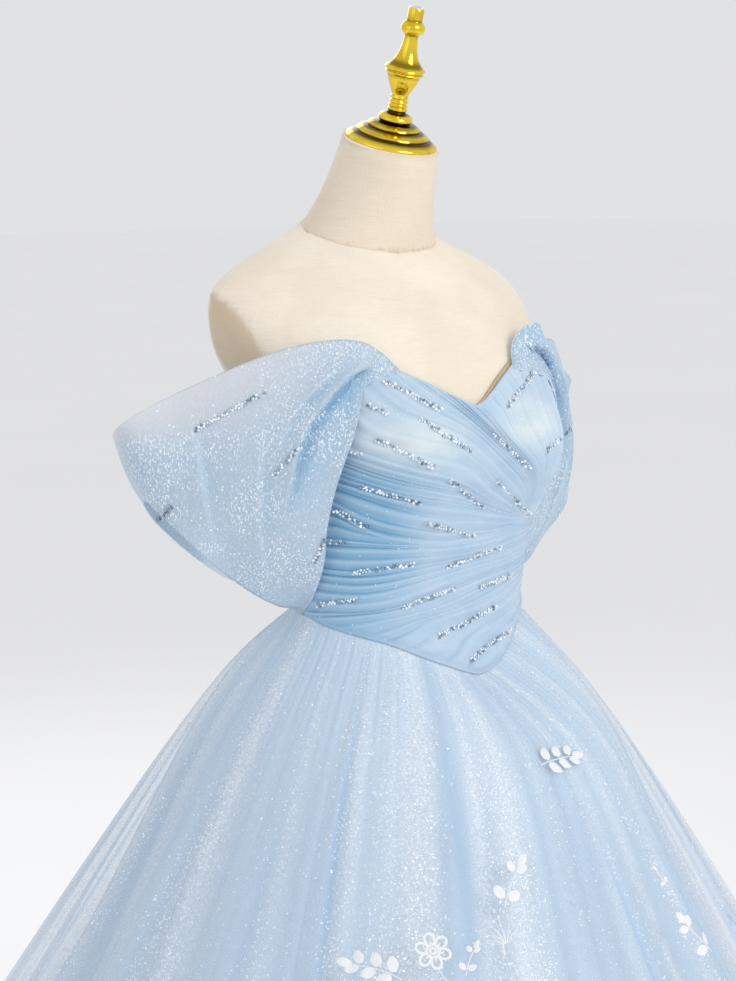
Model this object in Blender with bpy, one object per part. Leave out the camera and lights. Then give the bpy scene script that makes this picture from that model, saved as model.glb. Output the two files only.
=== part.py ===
"""A pale blue off-the-shoulder ball gown on a limbless dress form with a gold finial.

Metres, +Z up, the gown's front towards -Y and the wearer's left towards +X. The origin is the
centre of the stand's underside. Angles run round the body from the front (0) over the wearer's
left side (90 degrees) to the centre back (180 degrees), and are negative on the wearer's right.
"""

import math

import bmesh
import bpy
from mathutils import Matrix, Vector

# Clearances and wall thicknesses
SEAM_GAP = 0.0003
WAIST_GAP = 0.0008
BODICE_CLEAR = 0.0008
BODICE_WALL = 0.0018
SKIRT_WALL = 0.0020
LAYER_GAP = 0.0005
SLEEVE_WALL = 0.0016

# Dress form, as horizontal sections from the hip up to the base of the neck. front and back are
# depths from the section's centre, centre is its place along Y, square is 2 for an ellipse and
# more for a boxier outline, and tilt lifts the back of a section above its front.
FORM_COLUMNS = ("z", "half_width", "front", "back", "centre", "square", "tilt")
FORM_SECTIONS = (
    (0.780, 0.140, 0.090, 0.100, 0.000, 2.1, 0.00),
    (0.860, 0.160, 0.104, 0.116, -0.002, 2.1, 0.00),
    (0.940, 0.150, 0.104, 0.100, -0.010, 2.1, 0.00),
    (1.000, 0.130, 0.096, 0.080, -0.018, 2.1, 0.00),
    (1.050, 0.120, 0.086, 0.084, -0.020, 2.1, 0.00),
    (1.100, 0.123, 0.092, 0.090, -0.018, 2.2, 0.00),
    (1.160, 0.132, 0.106, 0.098, -0.012, 2.3, 0.00),
    (1.210, 0.143, 0.120, 0.105, -0.005, 2.3, 0.00),
    (1.260, 0.158, 0.125, 0.106, 0.008, 2.2, 0.00),
    (1.300, 0.182, 0.128, 0.086, 0.030, 2.0, 0.00),
    (1.335, 0.187, 0.121, 0.073, 0.043, 1.9, 0.03),
    (1.358, 0.182, 0.108, 0.066, 0.048, 1.9, 0.10),
    (1.376, 0.160, 0.091, 0.062, 0.046, 1.9, 0.18),
    (1.392, 0.122, 0.077, 0.058, 0.043, 2.0, 0.23),
    (1.404, 0.091, 0.066, 0.058, 0.040, 2.0, 0.26),
    (1.412, 0.071, 0.059, 0.060, 0.038, 2.0, 0.28),
)
FORM_ROW = 0.018
FORM_ROW_BELOW_WAIST = 0.054
FORM_WAIST = 1.000
BUST_DEPTH = 0.033
BUST_SIDE = 0.078
BUST_WIDTH = 0.055
BUST_HEIGHT = 1.212
BUST_RISE = 0.070
BUST_FALL = 0.052
BUST_AHEAD = 2.5
ARM_PLATE_SIDE = 0.180
ARM_PLATE_LEAN = 0.13
ARM_PLATE_HEIGHT = 1.355
CLEARING_ROUNDS = 4
FORM_STEPS = 32
UNDER_BODICE = 0.0025
UNDER_BODICE_FADE = 0.025
UNDER_BODICE_RIM = 0.014
UNDER_BODICE_BACK = math.radians(127)

# Neck, as sections up its own leaning axis
NECK_LEAN = math.radians(17)
NECK_SECTIONS = (
    {"up": 0.0000, "half_width": 0.0695, "half_depth": 0.0580, "forward": 0.0000},
    {"up": 0.0200, "half_width": 0.0590, "half_depth": 0.0545, "forward": 0.0080},
    {"up": 0.0450, "half_width": 0.0505, "half_depth": 0.0510, "forward": 0.0175},
    {"up": 0.0866, "half_width": 0.0455, "half_depth": 0.0465, "forward": 0.0327},
)
NECK_STEPS = 28

# Gold cap and finial, turned about the neck's axis, as radius and height
CAP_PROFILE = (
    (0.0440, 0.0000), (0.0440, 0.0026), (0.0412, 0.0052), (0.0380, 0.0064), (0.0362, 0.0088),
    (0.0325, 0.0100), (0.0285, 0.0128), (0.0258, 0.0142), (0.0218, 0.0170), (0.0175, 0.0195),
    (0.0168, 0.0242), (0.0105, 0.0256),
)
FINIAL_PROFILE = (
    (0.0098, 0.0260), (0.0090, 0.0290), (0.0108, 0.0310), (0.0088, 0.0330), (0.0105, 0.0352),
    (0.0084, 0.0378), (0.0086, 0.0402), (0.0104, 0.0424), (0.0092, 0.0452), (0.0130, 0.0525),
    (0.0176, 0.0605), (0.0188, 0.0660), (0.0205, 0.0700), (0.0203, 0.0722), (0.0150, 0.0785),
    (0.0105, 0.0850), (0.0070, 0.0920), (0.0054, 0.0990), (0.0094, 0.1040), (0.0121, 0.1100),
    (0.0098, 0.1150), (0.0072, 0.1166), (0.0074, 0.1278), (0.0060, 0.1289),
)
CAP_STEPS = 26
FINIAL_STEPS = 16

# Stand, hidden under the skirt
BASE_PROFILE = (
    (0.190, 0.000), (0.190, 0.008), (0.180, 0.013), (0.060, 0.019), (0.030, 0.028), (0.026, 0.040),
)
POLE_RADIUS = 0.016
FLANGE_RADIUS = 0.045
FLANGE_THICK = 0.006
BASE_STEPS = 32
POLE_STEPS = 20

# Edges of the bodice, as heights at degrees from the centre front
NECKLINE = (
    (0, 1.2575), (6, 1.2660), (15, 1.2835), (24, 1.2940), (31, 1.2965), (42, 1.2900), (56, 1.2720),
    (72, 1.2520), (90, 1.2430), (120, 1.2430), (150, 1.2450), (180, 1.2460),
)
WAIST_SEAM = (
    (0, 1.0030), (8, 1.0080), (21, 1.0180), (40, 1.0360), (61, 1.0490), (90, 1.0570),
    (130, 1.0600), (180, 1.0600),
)

# Pleats of the bodice front. Those of the upper front run from its edges to a gathering point
# under the wearer's left cup, bent towards a sweep point between the cups. Those of the lower
# front fan out from the wearer's left side seam. The two parts meet along a line from seam to seam.
BODY_RADIUS = 0.131
PARTING_RIGHT_Z = 1.113
PARTING_LEFT_Z = 1.143
GATHER_ANGLE = math.radians(37)
GATHER_RADIUS = 0.004
SWEEP_ANGLE = math.radians(17)
SWEEP_Z = 1.226
SWEEP_PULL = 0.75
SIDE_SWEEP = 0.25
SWEEP_START = math.radians(80)
SWEEP_FULL = math.radians(32)
SIDE_SWEEP_HEIGHT = 0.080
PLEAT_HEIGHT = 0.0024
PLEAT_START = 0.10
PLEAT_GROWTH = 0.40
PLEAT_END = 0.12
UPPER_RIGHT_PLEATS, UPPER_TOP_PLEATS, UPPER_LEFT_PLEATS = 8, 20, 4
LOWER_WAIST_PLEATS, LOWER_SEAM_PLEATS = 11, 3
UPPER_COLUMNS = 14
LOWER_COLUMNS = 18
BACK_COLUMNS, BACK_ROWS = 8, 9

# Skirt, as radius against height, the same all round once it has left the waist
SKIRT_RADII = (
    (0.010, 0.690), (0.150, 0.640), (0.300, 0.578), (0.450, 0.506), (0.600, 0.424), (0.680, 0.376),
    (0.780, 0.315), (0.880, 0.252), (0.960, 0.200), (1.020, 0.160), (1.060, 0.130),
)
HEM_Z = 0.010
PUFF_LENGTH = 0.030
LEVEL_LENGTH = 0.300
SKIRT_FORWARD = 0.014
SKIRT_FORWARD_LENGTH = 0.600
SKIRT_STEPS = 64
GATHER_COUNT = 120
GATHER_HEIGHT = 0.0018
GATHER_LENGTH = 0.085
FOLD_COUNT = 16
# waves round the skirt, size and phase of what moves the folds sideways and makes them uneven
FOLD_DRIFTS = ((3, 0.55, 0.4), (5, 0.40, 1.9))
FOLD_DEPTHS = ((2, 0.18, 0.7), (7, 0.08, 1.5))
FOLD_MEAN_DEPTH = 0.74
OVERLAY_FOLD = 0.017
UNDER_FOLD = 0.011
FOLD_LENGTH = 0.650
LAYER_APART = 0.045
LAYER_APART_LENGTH = 0.420
SKIRT_DROPS = (0, 0.016, 0.040, 0.075, 0.130, 0.220, 0.360, 0.560, 0.800)
GATHERED_ROWS = 3

# Draped sleeve, from its front edge round the arm to its back edge, for the wearer's left. rim is
# the open top edge, belly the middle of the drape and hem the lower edge. It is gathered into the
# neckline at both ends of the rim, and both ends of the hem come back to the waist at the side.
SLEEVE_SECTIONS = (
    {"rim": (0.088, -0.105, 1.293), "belly": (0.139, -0.100, 1.196), "hem": (0.1200, -0.012, 1.0605)},
    {"rim": (0.112, -0.088, 1.321), "belly": (0.174, -0.073, 1.200), "hem": (0.1600, -0.016, 1.0740)},
    {"rim": (0.165, -0.050, 1.316), "belly": (0.210, -0.037, 1.200), "hem": (0.1960, -0.007, 1.0980)},
    {"rim": (0.238, 0.014, 1.277), "belly": (0.240, 0.003, 1.205), "hem": (0.2367, 0.000, 1.1340)},
    {"rim": (0.287, 0.050, 1.240), "belly": (0.273, 0.052, 1.212), "hem": (0.2560, 0.050, 1.1720)},
    {"rim": (0.252, 0.100, 1.224), "belly": (0.238, 0.098, 1.185), "hem": (0.2170, 0.090, 1.1420)},
    {"rim": (0.185, 0.126, 1.236), "belly": (0.180, 0.118, 1.165), "hem": (0.1540, 0.092, 1.0910)},
    {"rim": (0.100, 0.085, 1.240), "belly": (0.128, 0.060, 1.150), "hem": (0.1180, 0.012, 1.0605)},
)
SLEEVE_STEPS_ROUND, SLEEVE_STEPS_DOWN = 22, 8
SLEEVE_FOLDS = 4.5
SLEEVE_FOLD_HEIGHT = 0.0090
SLEEVE_FOLD_REACH = 0.62
SLEEVE_SPREAD = 1.6
SLEEVE_CLEAR = 0.0040
SLEEVE_OVER_GATHERS = 0.0017
# Shares of the sleeve's length and drop over which it changes from one state to another
SLEEVE_FOLD_START = 0.18
SLEEVE_SEWN = 0.11
SLEEVE_STANDS = 0.12
SLEEVE_HUGS = 0.25
SLEEVE_DROOPS = (0.17, 0.70)
SLEEVE_LEFT = {"side": 1, "droop": 0.014, "hug": 0.09}
SLEEVE_RIGHT = {"side": -1, "droop": 0.0, "hug": 0.0}

# Colour, roughness and metallic value of each material
LINEN = ((0.83, 0.76, 0.66), 0.85, 0.0)
GOLD = ((0.83, 0.60, 0.13), 0.16, 1.0)
BODICE_BLUE = ((0.50, 0.67, 0.84), 0.75, 0.0)
SLEEVE_BLUE = ((0.66, 0.76, 0.87), 0.75, 0.0)
OVERLAY_BLUE = ((0.60, 0.74, 0.88), 0.80, 0.0)
UNDER_BLUE = ((0.74, 0.84, 0.93), 0.60, 0.0)


def smooth_read(keys, values, at):
    """The value at a key, on a smooth curve through all the values."""
    at = min(max(at, keys[0]), keys[-1])
    last = len(keys) - 1
    i = next((n for n in range(last - 1) if at <= keys[n + 1]), last - 1)

    def slope(n):
        low, high = max(n - 1, 0), min(n + 1, last)
        return (values[high] - values[low]) / (keys[high] - keys[low])

    span = keys[i + 1] - keys[i]
    t = (at - keys[i]) / span
    from_here = values[i] * (1 + 2 * t) * (1 - t) ** 2 + slope(i) * span * t * (1 - t) ** 2
    from_next = values[i + 1] * t * t * (3 - 2 * t) + slope(i + 1) * span * t * t * (t - 1)
    return from_here + from_next


def read_pairs(pairs, at):
    keys, values = zip(*pairs)
    return smooth_read(keys, values, at)


def ease(x):
    """0 below 0, 1 above 1, and smooth between."""
    x = min(max(x, 0.0), 1.0)
    return x * x * (3 - 2 * x)


def spread(low, high, steps):
    """steps + 1 values from low to high."""
    return [low + (high - low) * n / steps for n in range(steps + 1)]


def circle(steps):
    return [2 * math.pi * n / steps for n in range(steps)]


def form_section(z):
    """The dress form's section at a height, by the names of its columns."""
    keys = [row[0] for row in FORM_SECTIONS]
    columns = list(zip(*FORM_SECTIONS))
    return {name: smooth_read(keys, column, z) for name, column in zip(FORM_COLUMNS[1:], columns[1:])}


def bust(x, z):
    """How far the general figure's bust stands out in front of a plain section."""
    length = BUST_RISE if z > BUST_HEIGHT else BUST_FALL
    across = math.exp(-(((abs(x) - BUST_SIDE) / BUST_WIDTH) ** 2))
    return BUST_DEPTH * across * math.exp(-(((z - BUST_HEIGHT) / length) ** 2))


def arm_plate(z):
    """How far out to the side the flat plate at the form's armhole lies."""
    return ARM_PLATE_SIDE - ARM_PLATE_LEAN * max(ARM_PLATE_HEIGHT - z, 0.0)


def form_point(angle, z, out=0.0):
    """A point of the dress form's surface at an angle and a height, moved out by a distance."""
    section = form_section(z)
    power = 2 / section["square"]
    side = math.copysign(abs(math.sin(angle)) ** power, math.sin(angle))
    ahead = math.copysign(abs(math.cos(angle)) ** power, math.cos(angle))
    depth = section["front"] if ahead > 0 else section["back"]
    x = (section["half_width"] + out) * side
    y = -(depth + out) * ahead - bust(x, z) * ease(BUST_AHEAD * ahead)
    plate = arm_plate(z) + out
    x = min(max(x, -plate), plate)
    return Vector((x, section["centre"] + y, z + section["tilt"] * y))


def share_out(section, x, y, z, gap):
    """How far out a point lies, where 1 is on the dress form's surface moved out by a gap."""
    depth = (section["front"] if y < 0 else section["back"]) + gap
    if y < 0:
        depth += bust(x, z) * ease(-BUST_AHEAD * y / depth)
    power = section["square"]
    return (abs(x / (section["half_width"] + gap)) ** power + abs(y / depth) ** power) ** (1 / power)


def clear_of_form(point, gap, hold):
    """The same point, at least a gap off the dress form, and just that gap where hold is 1."""
    section = form_section(point.z)
    x, y = point.x, point.y - section["centre"]
    outside = share_out(section, x, y, point.z, gap) > 1 or abs(x) > arm_plate(point.z) + gap
    for _ in range(CLEARING_ROUNDS):
        share = share_out(section, x, y, point.z, gap)
        x, y = x / share, y / share
    on_form = Vector((x, section["centre"] + y, point.z))
    return point.lerp(on_form, hold) if outside else on_form


def neckline(angle):
    return read_pairs(NECKLINE, abs(math.degrees(angle)))


def waist_seam(angle):
    return read_pairs(WAIST_SEAM, abs(math.degrees(angle)))


def parting(angle):
    """Height of the line where the upper and the lower front of the bodice meet."""
    share = 0.5 + angle / math.pi
    return PARTING_RIGHT_Z + share * (PARTING_LEFT_Z - PARTING_RIGHT_Z)


def folds(angle, phase):
    """Folds round the skirt, from -1 to 1, uneven in their places and their depths."""
    drift, depth = (
        sum(size * math.sin(waves * angle + own + phase) for waves, size, own in rows)
        for rows in (FOLD_DRIFTS, FOLD_DEPTHS)
    )
    return (FOLD_MEAN_DEPTH + depth) * math.cos(FOLD_COUNT * angle + drift + phase)


def skirt_point(angle, drop, layer, out):
    """A point of a skirt layer at a drop below the side waist, moved out by a distance."""
    side_waist = waist_seam(math.pi / 2) - WAIST_GAP
    above_side = waist_seam(angle) - waist_seam(math.pi / 2)
    z = side_waist - drop + above_side * (1 - ease(drop / LEVEL_LENGTH))
    waist = form_point(angle, waist_seam(angle), layer["start"])
    radius = read_pairs(SKIRT_RADII, z) - layer["inside"] - layer["apart"] * ease(drop / LAYER_APART_LENGTH)
    radius += layer["fold"] * ease(drop / FOLD_LENGTH) * folds(angle, layer["phase"])
    forward = SKIRT_FORWARD * (1 - ease(drop / SKIRT_FORWARD_LENGTH))
    full = Vector((radius * math.sin(angle), -radius * math.cos(angle) - forward))
    flat = waist.xy.lerp(full, 1 - math.exp(-drop / PUFF_LENGTH))
    gathers = GATHER_HEIGHT * (1 - ease(drop / GATHER_LENGTH)) if layer["gathered"] and out > 0 else 0.0
    out += gathers * (0.5 + 0.5 * math.cos(GATHER_COUNT * angle))
    flat += out * Vector((math.sin(angle), -math.cos(angle)))
    return Vector((flat.x, flat.y, z))


def sleeve_point(around, down, shape):
    """A point in the middle of a sleeve's cloth, on the left. Both shares run from 0 to 1."""
    keys = spread(0, 1, len(SLEEVE_SECTIONS) - 1)
    rim, belly, hem = (
        Vector([smooth_read(keys, [row[edge][axis] for row in SLEEVE_SECTIONS], around) for axis in range(3)])
        for edge in ("rim", "belly", "hem")
    )
    droop_in, droop_out = SLEEVE_DROOPS
    rim.z -= shape["droop"] * ease(around / droop_in) * ease(2 * (droop_out - around))
    belly.xy *= 1 - shape["hug"] * ease(1 - around / SLEEVE_HUGS)
    bow = 4 * down * (1 - down)
    return rim * (1 - down) * (1 - 2 * down) + belly * bow + hem * down * (2 * down - 1)


def sleeve_fold(around, down):
    """Height of the folds that fan out of the sleeve's gathered front corner."""
    turn = math.atan2(down, SLEEVE_SPREAD * around + 0.02)
    reach = math.hypot(SLEEVE_SPREAD * around, down)
    strength = ease(reach / SLEEVE_FOLD_START) * ease(1 - (reach - SLEEVE_FOLD_START) / SLEEVE_FOLD_REACH)
    strength *= ease(down / SLEEVE_FOLD_START) * ease(around / SLEEVE_STANDS)
    return SLEEVE_FOLD_HEIGHT * strength * math.sin(2 * SLEEVE_FOLDS * turn)


def sleeve_wall_point(around, down, shape, out):
    """A point of a sleeve's wall, moved out of the middle of the cloth."""
    step = 0.01
    here, below = min(around, 1 - step), min(down, 1 - step)
    corner = sleeve_point(here, below, shape)
    along = sleeve_point(here + step, below, shape) - corner
    fall = sleeve_point(here, below + step, shape) - corner
    outward = fall.cross(along).normalized()
    standing = (PLEAT_HEIGHT + SLEEVE_CLEAR) * ease(down / SLEEVE_STANDS) * ease((1 - down) / SLEEVE_STANDS)
    standing += SLEEVE_OVER_GATHERS * ease(1 - around / SLEEVE_HUGS)
    at_end = 1 - ease(around / SLEEVE_SEWN) * ease((1 - around) / SLEEVE_SEWN)
    at_edge = 1 - ease(down / SLEEVE_SEWN) * ease((1 - down) / SLEEVE_SEWN)
    gap = BODICE_CLEAR + BODICE_WALL + standing + SEAM_GAP + SLEEVE_WALL / 2
    middle = sleeve_point(around, down, shape) + outward * sleeve_fold(around, down)
    point = clear_of_form(middle, gap, at_end * at_edge) + outward * out
    return Vector((shape["side"] * point.x, point.y, point.z))


def material(name, finish):
    """A plain Principled material from a colour, a roughness and a metallic value."""
    colour, roughness, metallic = finish
    made = bpy.data.materials.new(name)
    made.use_nodes = True
    shader = made.node_tree.nodes["Principled BSDF"]
    shader.inputs["Base Color"].default_value = (*colour, 1.0)
    shader.inputs["Roughness"].default_value = roughness
    shader.inputs["Metallic"].default_value = metallic
    return made


def finish_solid(name, build, made_of):
    """Turns a bmesh into a smooth-shaded object with its own material."""
    bmesh.ops.recalc_face_normals(build, faces=build.faces)
    if build.calc_volume(signed=True) < 0:
        bmesh.ops.reverse_faces(build, faces=build.faces)
    mesh = bpy.data.meshes.new(name)
    build.to_mesh(mesh)
    build.free()
    mesh.materials.append(made_of)
    mesh.shade_smooth()
    mesh.set_sharp_from_angle(angle=math.radians(50))
    solid = bpy.data.objects.new(name, mesh)
    bpy.context.scene.collection.objects.link(solid)


def zip_rows(build, first, second):
    """Triangles between two rows of points that start and end together, whatever their counts."""
    i = j = 0
    while i < len(first) - 1 or j < len(second) - 1:
        next_i = (i + 1) / (len(first) - 1) if i < len(first) - 1 else 2
        next_j = (j + 1) / (len(second) - 1) if j < len(second) - 1 else 2
        if next_i <= next_j:
            build.faces.new((first[i], first[i + 1], second[j]))
            i += 1
        else:
            build.faces.new((first[i], second[j + 1], second[j]))
            j += 1


def cloth_wall(name, outer, inner, made_of):
    """A closed wall of cloth between an outer and an inner sheet of points, given as rows."""
    build = bmesh.new()
    rims = []
    for sheet in (outer, inner):
        rows = [[build.verts.new(point) for point in row] for row in sheet]
        for upper, lower in zip(rows, rows[1:]):
            zip_rows(build, upper, lower)
        rims.append((rows[0], rows[-1], [row[0] for row in rows], [row[-1] for row in rows]))
    for outer_rim, inner_rim in zip(*rims):
        zip_rows(build, outer_rim, inner_rim)
    finish_solid(name, build, made_of)


def ring_solid(name, rings, made_of):
    """A closed solid through rings of points, with a flat face on its first and last ring."""
    build = bmesh.new()
    loops = [[build.verts.new(point) for point in ring] for ring in rings]
    for lower, upper in zip(loops, loops[1:]):
        zip_rows(build, [*lower, lower[0]], [*upper, upper[0]])
    build.faces.new(loops[0])
    build.faces.new(loops[-1])
    finish_solid(name, build, made_of)


def turned(name, profile, steps, frame, made_of):
    """A solid turned about the Z axis of a frame, from radii and heights."""
    rings = [
        [frame @ Vector((radius * math.cos(a), radius * math.sin(a), height)) for a in circle(steps)]
        for radius, height in profile
    ]
    ring_solid(name, rings, made_of)


def form_heights():
    """Heights of the dress form's rings, with more of them where its sections are far apart."""
    keys = [row[0] for row in FORM_SECTIONS]
    heights = [keys[0]]
    for low, high in zip(keys, keys[1:]):
        row = FORM_ROW if low >= FORM_WAIST else FORM_ROW_BELOW_WAIST
        heights.extend(spread(low, high, max(round((high - low) / row), 1))[1:])
    return heights


def torso_point(angle, z):
    """A point of the torso, which is a little smaller under the pleated front and its sides."""
    angle = (angle + math.pi) % (2 * math.pi) - math.pi
    below_neckline = ease((neckline(angle) + UNDER_BODICE_RIM - z) / UNDER_BODICE_FADE)
    in_front = ease(2 * (math.cos(angle) - math.cos(UNDER_BODICE_BACK)))
    return form_point(angle, z, -UNDER_BODICE * below_neckline * in_front)


def make_dress_form(linen, gold):
    ring_solid("form_torso", [[torso_point(a, z) for a in circle(FORM_STEPS)] for z in form_heights()], linen)
    top_z, top_tilt = FORM_SECTIONS[-1][0], FORM_SECTIONS[-1][-1]
    base = Vector((0, form_section(top_z)["centre"], top_z))
    crown = NECK_SECTIONS[-1]
    rings = []
    for row in NECK_SECTIONS:
        slope = top_tilt + (math.tan(NECK_LEAN) - top_tilt) * row["up"] / crown["up"]
        ring = []
        for a in circle(NECK_STEPS):
            y = -row["half_depth"] * math.cos(a)
            z = row["up"] + slope * y + SEAM_GAP
            ring.append(base + Vector((row["half_width"] * math.sin(a), y - row["forward"], z)))
        rings.append(ring)
    ring_solid("form_neck", rings, linen)
    top = base + Vector((0, -crown["forward"], crown["up"] + SEAM_GAP + SEAM_GAP / math.cos(NECK_LEAN)))
    frame = Matrix.Translation(top) @ Matrix.Rotation(NECK_LEAN, 4, "X")
    turned("form_neck_cap", CAP_PROFILE, CAP_STEPS, frame, gold)
    turned("form_finial", FINIAL_PROFILE, FINIAL_STEPS, frame, gold)


def make_stand(gold):
    upright = Matrix.Identity(4)
    turned("stand_base", BASE_PROFILE, BASE_STEPS, upright, gold)
    foot = BASE_PROFILE[-1][1] + SEAM_GAP
    head = FORM_SECTIONS[0][0] - SEAM_GAP
    under = head - FLANGE_THICK
    profile = ((POLE_RADIUS, foot), (POLE_RADIUS, under), (FLANGE_RADIUS, under), (FLANGE_RADIUS, head))
    turned("stand_pole", profile, POLE_STEPS, upright, gold)


def pleated_panel(name, lines, blue):
    """A panel through lines of angles and heights. Every second line stands up on its outside."""
    outer, inner = [], []
    for n, line in enumerate(lines):
        shares = spread(0, 1, len(line) - 1)
        rises = [
            PLEAT_HEIGHT * (n % 2) * ease((t - PLEAT_START) / PLEAT_GROWTH) * ease((1 - t) / PLEAT_END)
            for t in shares
        ]
        outer.append([form_point(*at, BODICE_CLEAR + BODICE_WALL + rise) for at, rise in zip(line, rises)])
        if n % 2 == 0:
            inner.append([form_point(*at, BODICE_CLEAR) for at in line])
    cloth_wall(name, outer, inner, blue)


def bent_line(start, end, sweep, pull):
    """Angles and heights from start to end, bent towards the sweep point."""
    through = [(a + b) / 2 + pull * (s - (a + b) / 2) for a, b, s in zip(start, end, sweep)]
    return [
        [a * (1 - t) ** 2 + m * 2 * t * (1 - t) + b * t * t for a, m, b in zip(start, through, end)]
        for t in spread(0, 1, UPPER_COLUMNS)
    ]


def upper_front_lines(side):
    """Pleat lines of the upper front, from the gathering point to its seams and neckline."""
    half_gap = SEAM_GAP / 2
    right = spread(parting(-side) + half_gap, neckline(-side), 2 * UPPER_RIGHT_PLEATS)
    left = spread(neckline(side), parting(side) + half_gap, 2 * UPPER_LEFT_PLEATS)
    edge = [(-side, z) for z in right[:-1]]
    edge += [(a, neckline(a)) for a in spread(-side, side, 2 * UPPER_TOP_PLEATS)]
    edge += [(side, z) for z in left[1:]]
    gather_z = parting(GATHER_ANGLE) + half_gap
    lines = []
    for angle, z in edge:
        away = Vector(((angle - GATHER_ANGLE) * BODY_RADIUS, z - gather_z)).normalized() * GATHER_RADIUS
        start = (GATHER_ANGLE + away.x / BODY_RADIUS, gather_z + away.y)
        towards_front = ease((SWEEP_START - abs(angle)) / (SWEEP_START - SWEEP_FULL))
        on_left = SIDE_SWEEP if angle > 0 else 0.0
        pull = on_left * ease((z - parting(angle)) / SIDE_SWEEP_HEIGHT) + (1 - on_left) * towards_front
        lines.append(bent_line(start, (angle, z), (SWEEP_ANGLE, SWEEP_Z), SWEEP_PULL * pull))
    return lines


def lower_front_lines(side):
    """Pleat lines of the lower front, from the left side seam to the waist and the right seam."""
    half_gap = SEAM_GAP / 2
    waist = spread(side, -side, 2 * LOWER_WAIST_PLEATS + 2)[2:]
    edge = [(a, 0.0) for a in waist] + [(-side, share) for share in spread(0, 1, 2 * LOWER_SEAM_PLEATS)[1:]]
    lines = []
    for from_share, (to_angle, to_share) in zip(spread(0, 1, len(edge) - 1), edge):
        line = []
        for t in spread(0, 1, LOWER_COLUMNS):
            angle = side + (to_angle - side) * t
            low, high = waist_seam(angle), parting(angle) - half_gap
            line.append((angle, low + (high - low) * (from_share + (to_share - from_share) * t)))
        lines.append(line)
    return lines


def make_bodice(blue):
    seam = SEAM_GAP / 2 / BODY_RADIUS
    side = math.pi / 2
    pleated_panel("bodice_front_upper", upper_front_lines(side - seam), blue)
    pleated_panel("bodice_front_lower", lower_front_lines(side - seam), blue)
    for name, sign in (("bodice_back_left", 1), ("bodice_back_right", -1)):
        sheets = []
        for out in (BODICE_WALL, 0.0):
            columns = [sign * a for a in spread(side + seam, math.pi - seam, BACK_COLUMNS)]
            sheets.append([
                [form_point(a, waist_seam(a) + share * (neckline(a) - waist_seam(a)), BODICE_CLEAR + out)
                 for a in columns]
                for share in spread(1, 0, BACK_ROWS)
            ])
        cloth_wall(name, *sheets, blue)


def make_skirt(layer_name, layer, made_of):
    """One layer of the skirt: a front from side seam to side seam and two backs."""
    side = math.pi / 2
    seam = SEAM_GAP / 2 / BODY_RADIUS
    drops = (*SKIRT_DROPS, waist_seam(side) - HEM_Z)
    panels = (
        ("front", -side + seam, side - seam),
        ("back_left", side + seam, math.pi - seam),
        ("back_right", -math.pi + seam, -side - seam),
    )
    for panel, low, high in panels:
        steps = round(SKIRT_STEPS * (high - low) / (2 * math.pi))
        fine = round(2 * GATHER_COUNT * (high - low) / (2 * math.pi))
        sheets = []
        for out in (SKIRT_WALL, 0.0):
            gathered = GATHERED_ROWS if layer["gathered"] and out > 0 else 0
            sheets.append([
                [skirt_point(a, drop, layer, out) for a in spread(low, high, fine if n < gathered else steps)]
                for n, drop in enumerate(drops)
            ])
        cloth_wall(f"{layer_name}_{panel}", *sheets, made_of)


def make_sleeve(name, shape, blue):
    sheets = [
        [
            [sleeve_wall_point(around, down, shape, out) for around in spread(0, 1, SLEEVE_STEPS_ROUND)]
            for down in spread(0, 1, SLEEVE_STEPS_DOWN)
        ]
        for out in (SLEEVE_WALL / 2, -SLEEVE_WALL / 2)
    ]
    cloth_wall(name, *sheets, blue)


def main():
    for old in list(bpy.data.objects):
        bpy.data.objects.remove(old)
    make_dress_form(material("linen", LINEN), material("gold", GOLD))
    make_stand(material("stand_gold", GOLD))
    make_bodice(material("bodice_blue", BODICE_BLUE))
    layered = SKIRT_WALL + LAYER_GAP
    under = {"start": BODICE_CLEAR, "inside": layered, "apart": LAYER_APART, "fold": UNDER_FOLD,
             "phase": 2.2, "gathered": False}
    overlay = {"start": BODICE_CLEAR + layered, "inside": 0.0, "apart": 0.0, "fold": OVERLAY_FOLD,
               "phase": 0.0, "gathered": True}
    make_skirt("skirt_under", under, material("under_blue", UNDER_BLUE))
    make_skirt("skirt_overlay", overlay, material("overlay_blue", OVERLAY_BLUE))
    sleeve_blue = material("sleeve_blue", SLEEVE_BLUE)
    make_sleeve("sleeve_left", SLEEVE_LEFT, sleeve_blue)
    make_sleeve("sleeve_right", SLEEVE_RIGHT, sleeve_blue)


main()
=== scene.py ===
import math
import random

import bpy
from mathutils import Matrix, Vector
from mathutils.bvhtree import BVHTree


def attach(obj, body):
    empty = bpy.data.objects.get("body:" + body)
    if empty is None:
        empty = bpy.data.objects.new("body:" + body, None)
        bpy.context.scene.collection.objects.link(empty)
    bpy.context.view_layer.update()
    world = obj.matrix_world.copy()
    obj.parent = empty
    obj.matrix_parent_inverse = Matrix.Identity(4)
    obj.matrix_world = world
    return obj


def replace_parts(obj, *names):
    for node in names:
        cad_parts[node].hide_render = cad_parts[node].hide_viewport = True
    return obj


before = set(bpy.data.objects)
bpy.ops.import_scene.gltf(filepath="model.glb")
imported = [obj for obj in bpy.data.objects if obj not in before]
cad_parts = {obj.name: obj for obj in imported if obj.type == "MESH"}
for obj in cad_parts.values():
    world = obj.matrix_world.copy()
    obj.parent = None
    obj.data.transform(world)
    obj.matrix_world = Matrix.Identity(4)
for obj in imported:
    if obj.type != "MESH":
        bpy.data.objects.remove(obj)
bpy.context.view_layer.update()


# Camera, light and floor. The camera stands in front of the gown, to the wearer's right and at
# chest height, so near that the lower half of the skirt is out of the picture, as in the photo.
PHOTO_WIDTH, PHOTO_HEIGHT = 736, 981
FOCAL_PIXELS = 2235
CAMERA_PLACE = (-1.382, -1.647, 1.500)
CAMERA_TURN, CAMERA_DIP = math.radians(-39.33), math.radians(8.9)
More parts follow.
